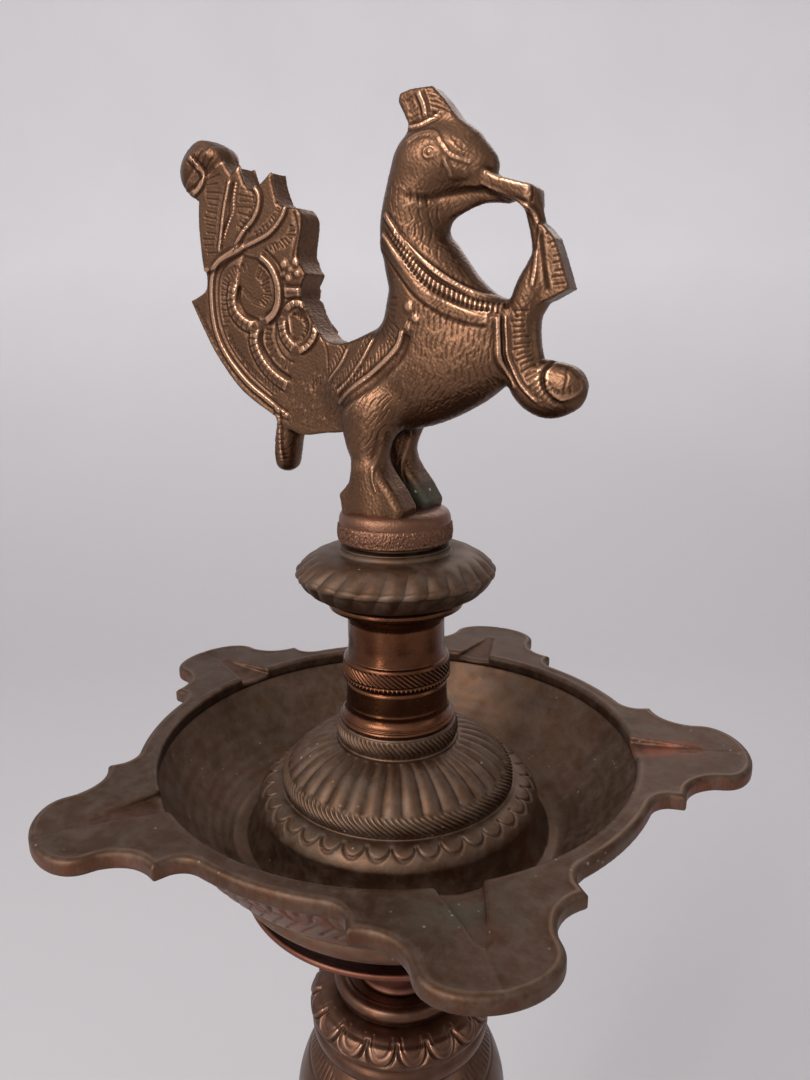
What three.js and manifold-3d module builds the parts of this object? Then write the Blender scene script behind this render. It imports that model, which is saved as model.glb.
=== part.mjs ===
// A standing brass oil lamp. A bird on a round pedestal crowns a gadrooned knob and a turned
// neck; below them lie the five-spouted oil bowl, a drip dish, a turned column and a bell foot.
// Every turned piece is bored through and screws down on the piece below with a threaded stud.
// Millimetres, +Z up, origin at the middle of the foot's underside, the bird faces +X.
import * as THREE from 'three';
import * as BufferGeometryUtils from 'three/addons/utils/BufferGeometryUtils.js';
import Module from 'manifold-3d';

const wasm = await Module();
wasm.setup();

// Fits shared by all the screwed joints
const SEAT_GAP = 0.3; // space left between two seated faces
const STUD_RADIUS = 5;
const STUD_CLEARANCE = 0.3; // radial space round a stud
const STUD_DOWN = 9.5; // length of a stud below its seat
const STUD_UP = 10; // length of a stud held in the piece above
const BORE = STUD_RADIUS + STUD_CLEARANCE;

// Bell foot
const FOOT_HEIGHT = 96;
const FOOT_RADIUS = 129.5;
const FOOT_RIM_HEIGHT = 9;
const FOOT_RING_WIDTH = 7;
const FOOT_WALL = 4.5;
const FOOT_STEP_RADIUS = 72;
const FOOT_STEP_HEIGHT = 43;
const FOOT_COLLAR_RADIUS = 27;
const FOOT_SIDES = 32;

// Lower column, a vase-shaped baluster
const VASE_LENGTH = 87.4;
const VASE_RADIUS = 31;
const VASE_SEAT_RADIUS = 23.5;
const VASE_WAIST_RADIUS = 14.5;
const VASE_WALL = 7;

// Middle knop
const KNOP_LENGTH = 47;
const KNOP_RADIUS = 29;
const KNOP_SEAT_RADIUS = 22.5;
const KNOP_WAIST_RADIUS = 14.5;

// Upper column, a globe under a petal collar and a ring
const GLOBE_LENGTH = 100.1;
const GLOBE_RADIUS = 44;
const GLOBE_CENTRE = 40; // height of the globe's widest line above its seat
const GLOBE_WALL = 7;
const GLOBE_SEAT_RADIUS = 24;
const GLOBE_WAIST_RADIUS = 30.8;
const COLLAR_RADIUS = 37.1;
const COLLAR_DROP = 12; // from the upper seat to the collar's widest line
const CROWN_RING_RADIUS = 23.8; // middle of the round ring on top of the collar
const CROWN_RING_SECTION = 3.4;

// Drip dish
const DISH_LENGTH = 50;
const DISH_RADIUS = 60.4;
const DISH_RIM_DROP = 1.6; // from the upper seat to the dish's rim
const DISH_DEPTH = 13;
const DISH_WALL = 2.6;
const DISH_NECK_RADIUS = 17;
const DISH_HUB_RADIUS = 12;

// Oil bowl with five spouts, cast in one with its fluted dome
const RIM_ABOVE_SEAT = 53; // flat rim above the bowl's lower seat
const RIM_INNER_RADIUS = 88;
const RIM_WIDTH = 7.5;
const RIM_OUTER_RADIUS = RIM_INNER_RADIUS + RIM_WIDTH;
const PLATE_THICKNESS = 5.5;
const PLATE_BEVEL = 0.9;
const BOWL_WALL = 4;
const FLOOR_DEPTH = 35;
const FLOOR_RADIUS = 58;
const CUP_FOOT_RADIUS = 57;
const CUP_BEAD_RADIUS = 65.5;
const CUP_DEPTH = 50.5;
const HUB_RADIUS = 11.5;
const DOME_TOP_RADIUS = 22.8;
const DOME_TOP_HEIGHT = 9; // upper seat above the rim
const DOME_BASE_RADIUS = 41;
const DOME_BASE_DEPTH = 8.5;
const DOME_FLUTES = 36;
const DOME_FLUTE_DEPTH = 1.3;
const ROPE_SECTION = 1.3; // how far a rope band stands proud
const SHOULDER_RADIUS = 53;
const SHOULDER_DEPTH = 21;
const BOWL_SIDES = 32;

// Spouts, given along (u) and across (v) each spout's own centre line
const SPOUTS = 5;
const FIRST_SPOUT_ANGLE = 25.9; // degrees from +X
const SPOUT_LENGTH = 33.5; // from the rim's outer edge to a spout's tip
const SPOUT_HALF_WIDTH = 19.6;
const SPOUT_TIP_LENGTH = 13;
const CUSP_ACROSS = 33.4;
const CUSP_LENGTH = 4.2; // from the rim's outer edge to the point of a cusp
const CUSP_ROOT_LENGTH = -4; // the same to the foot of a cusp
const CUSP_ROOT_ANGLE = 23; // degrees, where the rim's circle runs into a cusp
const SPOUT_ROOT_LENGTH = 17; // from the rim's outer edge to where a spout's sides run straight
const CHANNEL_DEPTH = 4;
const CHANNEL_HALF_WIDTH = 8.5;
const CHANNEL_END_HALF_WIDTH = 2.6;
const CHANNEL_LENGTH = 24; // from the rim's inner edge to a channel's end

// Neck spool
const NECK_LENGTH = 47.5;
const NECK_RADIUS = 17.7;
const NECK_FLANGE_RADIUS = 24.5;
const NECK_RING_RADIUS = 20.8;
const NECK_RING_LOW = 20;
const NECK_RING_HIGH = 25.6;
const NECK_FOOT_RADIUS = 21.4;
const NECK_SHANK_RADIUS = 18.6;

// Gadrooned knob
const KNOB_RADIUS = 36.3;
const KNOB_WIDEST_HEIGHT = 9.2;
const KNOB_FOOT_RADIUS = 24.3;
const KNOB_SHOULDER_HEIGHT = 17;
const KNOB_SHOULDER_RADIUS = 19.8;
const KNOB_BOSS_HEIGHT = 2;
const KNOB_SEAT_RADIUS = 16.5;
const KNOB_LENGTH = 20.3;
const KNOB_FLUTES = 28;
const KNOB_FLUTE_DEPTH = 1.5;
const KNOB_TWIST = 0.32; // radians that a flute turns between the widest line and the foot

// Bird finial
const PEDESTAL_RADIUS = 20.6;
const PEDESTAL_BAND = 8.4;
const PEDESTAL_HEIGHT = 11.4;
const TAIL_THICKNESS = 12;
const TAIL_BEVEL = 0.7;
const LEG_SPREAD = 9; // from the middle plane to each leg
const BIRD_HEIGHT = 143.8; // from the pedestal's underside to the top of the crest
const END_BULGE = 0.4; // how far a limb's end bulges, as a share of its half width
const END_TAPER = 0.62; // size of the end's last ring against the limb's own

const DEGREE = Math.PI / 180;

// Points of a curve from a to b that bows sideways by sag, to the right of its direction
function bow(a, b, sag, steps = 3) {
  const [dx, dz] = [b[0] - a[0], b[1] - a[1]];
  const length = Math.hypot(dx, dz);
  const control = new THREE.Vector2(
    (a[0] + b[0]) / 2 + (2 * sag * dz) / length,
    (a[1] + b[1]) / 2 - (2 * sag * dx) / length,
  );
  const curve = new THREE.QuadraticBezierCurve(new THREE.Vector2(...a), control, new THREE.Vector2(...b));
  return curve.getPoints(steps).map((p) => [p.x, p.y]);
}

// A solid of revolution about +Z from a profile of [radius, height] that closes on itself
function turned(profile, sides) {
  const points = profile.map(([r, z]) => new THREE.Vector2(r, z));
  points.push(points[0].clone());
  return new THREE.LatheGeometry(points, sides).rotateX(Math.PI / 2);
}

// Moves each vertex of a turned solid with a function of its radius, height and angle,
// which gives the new radius and height and, if wanted, a turn about the axis
function reshape(geometry, move) {
  const position = geometry.attributes.position;
  for (let i = 0; i < position.count; i += 1) {
    const [x, y, z] = [position.getX(i), position.getY(i), position.getZ(i)];
    const angle = Math.atan2(y, x);
    const [radius, height, turn = 0] = move(Math.hypot(x, y), z, angle);
    position.setXYZ(i, radius * Math.cos(angle + turn), radius * Math.sin(angle + turn), height);
  }
  return geometry;
}

// One round lobe for each turn of the phase, 1 at its crest and 0 in the groove
const lobe = (phase) => Math.abs(Math.cos(phase / 2));

// 0 outside the span from a to b, 1 in its middle
const swell = (value, a, b) => {
  const t = THREE.MathUtils.clamp((value - a) / (b - a), 0, 1);
  return Math.sin(Math.PI * t);
};

function toSolid(geometry) {
  const plain = geometry.index ? geometry.clone() : BufferGeometryUtils.mergeVertices(geometry);
  plain.deleteAttribute('normal');
  plain.deleteAttribute('uv');
  const merged = BufferGeometryUtils.mergeVertices(plain, 1e-4);
  const index = merged.index.array;
  const triangles = [];
  for (let i = 0; i < index.length; i += 3) {
    const [a, b, c] = [index[i], index[i + 1], index[i + 2]];
    if (a !== b && b !== c && c !== a) triangles.push(a, b, c);
  }
  return new wasm.Manifold(new wasm.Mesh({
    numProp: 3,
    vertProperties: new Float32Array(merged.attributes.position.array),
    triVerts: new Uint32Array(triangles),
  }));
}

function toGeometry(solid) {
  const mesh = solid.getMesh();
  const geometry = new THREE.BufferGeometry();
  geometry.setAttribute('position', new THREE.BufferAttribute(mesh.vertProperties.slice(), 3));
  geometry.setIndex(new THREE.BufferAttribute(mesh.triVerts.slice(), 1));
  geometry.computeVertexNormals();
  return geometry;
}

const joined = (...geometries) => geometries.map(toSolid).reduce((sum, next) => sum.add(next));

// A round bar along +Z
function bar(radius, from, to, sides = 12) {
  return new THREE.CylinderGeometry(radius, radius, to - from, sides)
    .rotateX(Math.PI / 2).translate(0, 0, (from + to) / 2);
}

// The bell foot, open underneath
function footGeometry() {
  const step = [FOOT_STEP_RADIUS, FOOT_STEP_HEIGHT];
  const rim = FOOT_RIM_HEIGHT;
  const neck = FOOT_COLLAR_RADIUS - 5;
  const outer = [
    [FOOT_COLLAR_RADIUS - 1, FOOT_HEIGHT],
    [FOOT_COLLAR_RADIUS, FOOT_HEIGHT - 4],
    [neck, FOOT_HEIGHT - 9],
    ...bow([neck, FOOT_HEIGHT - 13], [step[0] - 6, step[1] + 3.5], 9, 4),
    [step[0] - 2, step[1] + 2],
    [step[0], step[1] - 2],
    ...bow([step[0] + 3, step[1] - 5], [FOOT_RADIUS - 15, rim + 13], -6, 3),
    [FOOT_RADIUS - 10.5, rim + 9],
    [FOOT_RADIUS - 9, rim + 5],
    [FOOT_RADIUS, rim - 1.5],
    [FOOT_RADIUS, 0],
  ];
  const inner = [
    [FOOT_RADIUS - FOOT_RING_WIDTH, 0],
    [FOOT_RADIUS - FOOT_RING_WIDTH, rim - 3],
    ...bow([FOOT_RADIUS - 16, rim + 9 - FOOT_WALL], [step[0] + 3, step[1] - 6 - FOOT_WALL], 6, 2),
    ...bow([step[0] - 6, step[1] - FOOT_WALL], [neck - 1, FOOT_HEIGHT - 23], -9, 2),
    [BORE + FOOT_WALL, FOOT_HEIGHT - 15],
    [BORE, FOOT_HEIGHT - 15],
  ];
  return turned([...inner.reverse(), ...outer.reverse(), [BORE, FOOT_HEIGHT]], FOOT_SIDES);
}

// Lower column: collar, thin waist, vase and foot ring, cored inside the vase
function vaseGeometry() {
  const top = VASE_LENGTH;
  const middle = top * 0.57;
  const outer = [
    [VASE_SEAT_RADIUS, 0],
    [VASE_SEAT_RADIUS + 1.2, 4],
    [VASE_WAIST_RADIUS + 4, 9.5],
    ...bow([VASE_WAIST_RADIUS + 1.5, 12], [VASE_RADIUS, middle], 4, 3),
    ...bow([VASE_RADIUS, middle], [VASE_WAIST_RADIUS + 2, top - 16], 5, 3).slice(1),
    [VASE_WAIST_RADIUS, top - 12],
    [VASE_WAIST_RADIUS + 1, top - 7.5],
    [VASE_SEAT_RADIUS - 2.4, top - 3],
    [VASE_SEAT_RADIUS - 4, top],
  ];
  const core = [
    [BORE, top],
    [BORE, middle + 24],
    [VASE_RADIUS - VASE_WALL - 8, middle + 14],
    [VASE_RADIUS - VASE_WALL, middle],
    [VASE_RADIUS - VASE_WALL - 6, middle - 16],
    [BORE, middle - 30],
    [BORE, 0],
  ];
  return turned([...outer, ...core], 20);
}

// Middle knop: a flattened ball between two collars
function knopGeometry() {
  const top = KNOP_LENGTH;
  const centre = top * 0.43;
  const outer = [
    [KNOP_SEAT_RADIUS - 0.6, 0],
    [KNOP_SEAT_RADIUS, 0.8],
    [KNOP_SEAT_RADIUS, 4],
    [KNOP_WAIST_RADIUS + 3.5, 7],
    ...bow([KNOP_WAIST_RADIUS + 3, 8.5], [KNOP_RADIUS, centre], 3.4, 3),
    ...bow([KNOP_RADIUS, centre], [KNOP_WAIST_RADIUS + 2, centre + 11.5], 3.4, 3).slice(1),
    [KNOP_WAIST_RADIUS, centre + 15],
    [KNOP_WAIST_RADIUS + 1, top - 7],
    [KNOP_SEAT_RADIUS - 0.5, top - 3.8],
    [KNOP_SEAT_RADIUS, top - 1],
    [KNOP_SEAT_RADIUS - 1, top],
  ];
  return turned([...outer, [BORE, top], [BORE, 0]], 20);
}

// Upper column: globe, waist, petal collar and a round ring, cored inside the globe
function globeGeometry() {
  const top = GLOBE_LENGTH;
  const collar = top - COLLAR_DROP;
  const waist = collar - 17.8;
  const ring = [];
  for (let i = 0; i <= 4; i += 1) {
    const angle = (-70 + i * 58) * DEGREE;
    ring.push([
      CROWN_RING_RADIUS + CROWN_RING_SECTION * Math.cos(angle),
      top - 2.1 + CROWN_RING_SECTION * Math.sin(angle),
    ]);
  }
  const outer = [
    [GLOBE_SEAT_RADIUS, 0],
    [GLOBE_SEAT_RADIUS, 3.6],
    [GLOBE_SEAT_RADIUS - 2, 11],
    ...bow([GLOBE_SEAT_RADIUS + 1.5, 13.5], [GLOBE_RADIUS, GLOBE_CENTRE], 5.6, 3),
    ...bow([GLOBE_RADIUS, GLOBE_CENTRE], [GLOBE_WAIST_RADIUS, waist], 3.2, 3).slice(1),
    [COLLAR_RADIUS - 2, waist + 5],
    [COLLAR_RADIUS - 0.9, collar - 7.5],
    [COLLAR_RADIUS - 2, collar - 4.6],
    [COLLAR_RADIUS - 0.4, collar - 2.8],
    ...bow([COLLAR_RADIUS, collar], [CROWN_RING_RADIUS + 1.5, collar + 6.6], 2.4, 2),
    ...ring,
    [CROWN_RING_RADIUS - CROWN_RING_SECTION, top],
  ];
  const core = [
    [BORE, top],
    [BORE, waist],
    [GLOBE_WAIST_RADIUS - GLOBE_WALL - 4, waist - 5],
    [GLOBE_RADIUS - GLOBE_WALL, GLOBE_CENTRE],
    [BORE, GLOBE_CENTRE - 26],
    [BORE, 0],
  ];
  return turned([...outer, ...core], 24);
}

// Drip dish: a wide thin saucer on a plain neck, with a hub that carries the bowl
function dishGeometry() {
  const top = DISH_LENGTH;
  const rim = top - DISH_RIM_DROP;
  const outer = [
    [DISH_NECK_RADIUS, 0],
    [DISH_NECK_RADIUS - 0.8, rim - DISH_DEPTH - 14],
    [DISH_NECK_RADIUS + 2, rim - DISH_DEPTH - 6],
    ...bow([DISH_NECK_RADIUS + 7, rim - DISH_DEPTH - DISH_WALL], [DISH_RADIUS, rim - 1.4], 2.2, 3),
    [DISH_RADIUS - 0.5, rim],
    [DISH_RADIUS - 1.8, rim],
    ...bow([DISH_RADIUS - 2.6, rim - 1], [DISH_HUB_RADIUS + 8, rim - DISH_DEPTH], -2.2, 3),
    [DISH_HUB_RADIUS, rim - DISH_DEPTH + 4],
    [DISH_HUB_RADIUS, top],
  ];
  return turned([...outer, [BORE, top], [BORE, 0]], 28);
}

// Outline of the flat plate: the rim's circle with a cusped spout at each fifth
function plateShape() {
  const shape = new THREE.Shape();
  const rootAngle = CUSP_ROOT_ANGLE * DEGREE;
  const tipStart = RIM_OUTER_RADIUS + SPOUT_LENGTH - SPOUT_TIP_LENGTH;
  const spoutRoot = RIM_OUTER_RADIUS + SPOUT_ROOT_LENGTH;
  const cusp = RIM_OUTER_RADIUS + CUSP_LENGTH;
  const cuspRoot = RIM_OUTER_RADIUS + CUSP_ROOT_LENGTH;
  for (let k = 0; k < SPOUTS; k += 1) {
    const angle = FIRST_SPOUT_ANGLE * DEGREE + (2 * Math.PI * k) / SPOUTS;
    const [c, s] = [Math.cos(angle), Math.sin(angle)];
    const at = (u, v) => [u * c - v * s, u * s + v * c];
    const onRim = (turn) => at(RIM_OUTER_RADIUS * Math.cos(turn), RIM_OUTER_RADIUS * Math.sin(turn));
    if (k === 0) shape.moveTo(...onRim(-rootAngle));
    shape.quadraticCurveTo(...at(cuspRoot - 1.5, -CUSP_ACROSS), ...at(cuspRoot + 3, 0.6 - CUSP_ACROSS));
    shape.lineTo(...at(cusp, -CUSP_ACROSS));
    shape.quadraticCurveTo(...at(cusp + 1.6, -SPOUT_HALF_WIDTH - 2.4), ...at(spoutRoot, -SPOUT_HALF_WIDTH));
    shape.lineTo(...at(tipStart, -SPOUT_HALF_WIDTH));
    shape.absellipse(
      ...at(tipStart, 0), SPOUT_TIP_LENGTH, SPOUT_HALF_WIDTH,
      -Math.PI / 2, Math.PI / 2, false, angle,
    );
    shape.lineTo(...at(spoutRoot, SPOUT_HALF_WIDTH));
    shape.quadraticCurveTo(...at(cusp + 1.6, SPOUT_HALF_WIDTH + 2.4), ...at(cusp, CUSP_ACROSS));
    shape.lineTo(...at(cuspRoot + 3, CUSP_ACROSS - 0.6));
    shape.quadraticCurveTo(...at(cuspRoot - 1.5, CUSP_ACROSS), ...onRim(rootAngle));
    const span = (2 * Math.PI) / SPOUTS - 2 * rootAngle;
    for (const part of [1 / 3, 2 / 3, 1]) {
      if (k < SPOUTS - 1 || part < 1) shape.lineTo(...onRim(rootAngle + part * span));
    }
  }
  const middle = new THREE.EllipseCurve(0, 0, RIM_INNER_RADIUS + 2.5, RIM_INNER_RADIUS + 2.5);
  shape.holes.push(new THREE.Path(middle.getPoints(28).slice(0, -1)));
  return shape;
}

// A wick channel, a wedge that opens into the bowl and rises to nothing along the spout
function channelGeometry(angle) {
  const shape = new THREE.Shape();
  const mouth = RIM_INNER_RADIUS - 6;
  const reach = RIM_INNER_RADIUS + CHANNEL_LENGTH;
  shape.moveTo(mouth, -CHANNEL_HALF_WIDTH);
  shape.lineTo(reach - 6, -CHANNEL_END_HALF_WIDTH);
  shape.quadraticCurveTo(reach + 2, 0, reach - 6, CHANNEL_END_HALF_WIDTH);
  shape.lineTo(mouth, CHANNEL_HALF_WIDTH);
  const depth = CHANNEL_DEPTH + 2;
  const wedge = new THREE.ExtrudeGeometry(shape, { depth, bevelEnabled: false, curveSegments: 3 });
  const position = wedge.attributes.position;
  const slope = CHANNEL_DEPTH / (reach + 4 - mouth);
  for (let i = 0; i < position.count; i += 1) {
    if (position.getZ(i) < 1e-6) position.setZ(i, (position.getX(i) - mouth) * slope);
  }
  return wedge.translate(0, 0, -CHANNEL_DEPTH).rotateZ(angle);
}

// Skin of the dome: flutes from the rope band down to the base
function fluteGeometry() {
  const profile = [
    [DOME_BASE_RADIUS, -DOME_BASE_DEPTH - 2.4],
    [DOME_TOP_RADIUS - 1, -1.6],
    ...bow([DOME_TOP_RADIUS - 0.4, 3.4], [DOME_BASE_RADIUS + 0.6, -DOME_BASE_DEPTH + 0.3], -1.8, 3),
  ];
  return reshape(turned(profile.reverse(), DOME_FLUTES * 2), (r, z, angle) => {
    if (z < -DOME_BASE_DEPTH - 2) return [r, z];
    const crest = swell(r, DOME_TOP_RADIUS, DOME_BASE_RADIUS + 0.6) ** 0.5;
    return [r, z - DOME_FLUTE_DEPTH * crest * (1 - lobe(DOME_FLUTES * angle))];
  });
}

// Oil bowl: cup, floor, rim plate with spouts, and the hollow dome with its bore
function bowlGeometry() {
  const floor = -FLOOR_DEPTH;
  const base = -DOME_BASE_DEPTH;
  const dome = [
    [BORE, DOME_TOP_HEIGHT],
    [DOME_TOP_RADIUS - 1.2, DOME_TOP_HEIGHT],
    ...bow([DOME_TOP_RADIUS, DOME_TOP_HEIGHT - 1], [DOME_TOP_RADIUS, 3], -ROPE_SECTION, 2),
    [DOME_TOP_RADIUS, 1.6],
    [DOME_BASE_RADIUS - 3, base + 0.4],
    ...bow([DOME_BASE_RADIUS + 1, base], [DOME_BASE_RADIUS + 2.6, base - 7], -ROPE_SECTION, 2),
    ...bow([DOME_BASE_RADIUS + 3, base - 7.4], [SHOULDER_RADIUS, -SHOULDER_DEPTH], -1.6, 2).slice(1),
    [FLOOR_RADIUS, floor],
  ];
  const inside = [
    [FLOOR_RADIUS + 4, floor],
    ...bow([FLOOR_RADIUS + 6, floor + 1], [RIM_INNER_RADIUS, -PLATE_THICKNESS], 2, 2),
    [RIM_INNER_RADIUS, 0],
    [RIM_OUTER_RADIUS - 2, 0],
    [RIM_OUTER_RADIUS - 2, -PLATE_THICKNESS],
  ];
  const wallFoot = [CUP_BEAD_RADIUS + 0.5, floor - BOWL_WALL];
  const outside = [
    ...bow([RIM_INNER_RADIUS + 2.5, -PLATE_THICKNESS - 1.2], wallFoot, -2.4, 3),
    ...bow([CUP_BEAD_RADIUS, floor - BOWL_WALL - 1], [CUP_BEAD_RADIUS - 1.5, 5 - CUP_DEPTH], -1.4, 2),
    [CUP_FOOT_RADIUS, -CUP_DEPTH],
    [CUP_FOOT_RADIUS - 5, -CUP_DEPTH],
    [SHOULDER_RADIUS - 4, floor - BOWL_WALL - 2],
    [DOME_BASE_RADIUS + 1, -SHOULDER_DEPTH - BOWL_WALL + 3],
    [DOME_TOP_RADIUS + 1, -BOWL_WALL],
    [HUB_RADIUS, -BOWL_WALL],
    [HUB_RADIUS, -RIM_ABOVE_SEAT],
    [BORE, -RIM_ABOVE_SEAT],
  ];
  const shell = turned([...dome, ...inside, ...outside].reverse(), BOWL_SIDES);
  const plate = new THREE.ExtrudeGeometry(plateShape(), {
    depth: PLATE_THICKNESS - 2 * PLATE_BEVEL,
    bevelThickness: PLATE_BEVEL,
    bevelSize: PLATE_BEVEL,
    bevelOffset: -PLATE_BEVEL,
    bevelSegments: 1,
    curveSegments: 3,
  }).translate(0, 0, PLATE_BEVEL - PLATE_THICKNESS);
  let solid = joined(shell, fluteGeometry(), plate);
  for (let k = 0; k < SPOUTS; k += 1) {
    const angle = FIRST_SPOUT_ANGLE * DEGREE + (2 * Math.PI * k) / SPOUTS;
    solid = solid.subtract(toSolid(channelGeometry(angle)));
  }
  return toGeometry(solid).translate(0, 0, RIM_ABOVE_SEAT);
}

// Neck spool: foot, shank, knurled ring, waisted neck and flange
function neckGeometry() {
  const top = NECK_LENGTH;
  const outer = [
    [NECK_FOOT_RADIUS, 0],
    [NECK_FOOT_RADIUS, 1.2],
    ...bow([NECK_FOOT_RADIUS - 0.8, 1.8], [NECK_SHANK_RADIUS, 9], 0.9, 2),
    [NECK_SHANK_RADIUS, 12.6],
    [NECK_SHANK_RADIUS - 0.8, NECK_RING_LOW - 4],
    [NECK_RING_RADIUS, NECK_RING_LOW],
    [NECK_RING_RADIUS, NECK_RING_HIGH],
    [NECK_RING_RADIUS - 0.5, NECK_RING_HIGH + 0.7],
    ...bow([NECK_RING_RADIUS - 1.4, NECK_RING_HIGH + 1.8], [NECK_RADIUS, NECK_RING_HIGH + 8.5], 0.8, 2),
    [NECK_RADIUS - 0.1, top - 8.5],
    ...bow([NECK_RADIUS + 0.4, top - 6.6], [NECK_FLANGE_RADIUS, top - 2.4], 1.5, 2),
    [NECK_FLANGE_RADIUS + 0.1, top - 0.7],
    [NECK_FLANGE_RADIUS - 0.6, top],
  ];
  return turned([...outer, [BORE, top], [BORE, 0]], 20);
}

// Gadrooned knob: a smooth cushion above, twisted flutes below its widest line
function knobGeometry() {
  const widest = [KNOB_RADIUS, KNOB_WIDEST_HEIGHT];
  const outer = [
    [KNOB_FOOT_RADIUS, 0],
    ...bow([KNOB_FOOT_RADIUS + 2.4, 0.7], widest, 1.9, 3),
    ...bow(widest, [KNOB_SHOULDER_RADIUS, KNOB_SHOULDER_HEIGHT - 0.4], 1.7, 2).slice(1),
    [KNOB_SHOULDER_RADIUS, KNOB_SHOULDER_HEIGHT + KNOB_BOSS_HEIGHT],
    [KNOB_SEAT_RADIUS, KNOB_SHOULDER_HEIGHT + KNOB_BOSS_HEIGHT],
    [KNOB_SEAT_RADIUS, KNOB_LENGTH],
  ];
  const flutes = (r, z, angle) => {
    if (r < KNOB_FOOT_RADIUS - 1 || z > KNOB_WIDEST_HEIGHT) return [r, z];
    const turn = KNOB_TWIST * (1 - z / KNOB_WIDEST_HEIGHT);
    const depth = KNOB_FLUTE_DEPTH * swell(z, 0, KNOB_WIDEST_HEIGHT * 1.15) ** 0.6;
    return [r - depth * (1 - lobe(KNOB_FLUTES * angle)), z, turn];
  };
  return reshape(turned([...outer, [BORE, KNOB_LENGTH], [BORE, 0]], KNOB_FLUTES * 2), flutes);
}

// A limb of the bird: flattened round sections along a smooth path, with blunt round ends.
// Each station is [x, z, half width in the bird's plane, half thickness].
function limb(stations, side = 0, steps = 1, sides = 8) {
  const line = stations.map(([x, z]) => new THREE.Vector3(x, side, z));
  const path = new THREE.CatmullRomCurve3(line, false, 'centripetal');
  const count = (stations.length - 1) * steps;
  const rings = [];
  for (let i = 0; i <= count; i += 1) {
    const place = i / steps;
    const low = Math.min(Math.floor(place), stations.length - 2);
    const [wide, thick] = [2, 3].map((column) => (
      THREE.MathUtils.lerp(stations[low][column], stations[low + 1][column], place - low)
    ));
    rings.push({ middle: path.getPoint(i / count), tangent: path.getTangent(i / count), wide, thick });
  }
  const blunt = (ring, direction) => ({
    middle: ring.middle.clone().addScaledVector(ring.tangent, direction * END_BULGE * ring.wide),
    tangent: ring.tangent,
    wide: ring.wide * END_TAPER,
    thick: ring.thick * END_TAPER,
  });
  rings.unshift(blunt(rings[0], -1));
  rings.push(blunt(rings[rings.length - 1], 1));

  const points = [];
  const faces = [];
  rings.forEach(({ middle, tangent, wide, thick }) => {
    const across = new THREE.Vector3(-tangent.z, 0, tangent.x).normalize();
    for (let k = 0; k < sides; k += 1) {
      const turn = (2 * Math.PI * k) / sides;
      const point = middle.clone().addScaledVector(across, wide * Math.cos(turn));
      point.y += thick * Math.sin(turn);
      points.push(point.x, point.y, point.z);
    }
  });
  for (let i = 0; i < rings.length - 1; i += 1) {
    for (let k = 0; k < sides; k += 1) {
      const [a, b] = [i * sides + k, i * sides + ((k + 1) % sides)];
      faces.push(a, b + sides, b, a, a + sides, b + sides);
    }
  }
  const last = (rings.length - 1) * sides;
  for (let k = 1; k < sides - 1; k += 1) {
    faces.push(0, k, k + 1);
    faces.push(last, last + k + 1, last + k);
  }
  const geometry = new THREE.BufferGeometry();
  geometry.setAttribute('position', new THREE.BufferAttribute(new Float32Array(points), 3));
  geometry.setIndex(faces);
  return geometry;
}

// A flat form of the bird: an outline in its plane, with a thickness from the front face to the back one
function flat(outline, front, back, bevel = 0) {
  const depth = back - front - 2 * bevel;
  return new THREE.ExtrudeGeometry(new THREE.Shape(outline), {
    depth,
    bevelEnabled: bevel > 0,
    bevelThickness: bevel,
    bevelSize: bevel,
    bevelOffset: -bevel,
    bevelSegments: 1,
  }).rotateX(Math.PI / 2).translate(0, back - bevel, 0);
}

// The tail: one plate with feather tips and a curled end, drawn in the bird's plane
function tailGeometry(scale) {
  const shape = new THREE.Shape();
  const at = ([x, z]) => new THREE.Vector2(x * scale, z * scale);
  const start = (point) => shape.moveTo(...at(point));
  const run = (...points) => shape.splineThru(points.map(at));
  const edge = (point) => shape.lineTo(...at(point));
  start([-8, 122]);
  run([-16, 115.5], [-26, 114], [-38, 113], [-48, 118.5]);
  run([-64, 127.5], [-75.5, 139.5], [-82, 149.5], [-88.4, 161]);
  run([-81, 164], [-79.2, 168], [-80, 178], [-80.4, 188], [-79.6, 196]);
  run([-87, 201], [-89, 207], [-85, 213], [-78.6, 216.2], [-71.8, 212.8], [-63.4, 202.8]);
  edge([-60, 205.4]);
  run([-58.6, 201.4], [-55.4, 199.2], [-49.6, 200.2], [-45.4, 202.2]);
  run([-44.8, 198], [-43, 192.4], [-39.4, 190.6], [-34.6, 190]);
  run([-32.8, 186], [-35.4, 175], [-32, 168.3]);
  run([-34.8, 162], [-30.8, 154], [-25, 146.6], [-17, 145], [-6, 147]);
  edge([0, 132]);
  const apart = (p, i, all) => i === 0 || p.distanceTo(all[i - 1]) > 1.2 * scale;
  const outline = shape.getPoints(2).filter(apart);
  return flat(outline, -TAIL_THICKNESS / 2, TAIL_THICKNESS / 2, TAIL_BEVEL);
}

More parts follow.
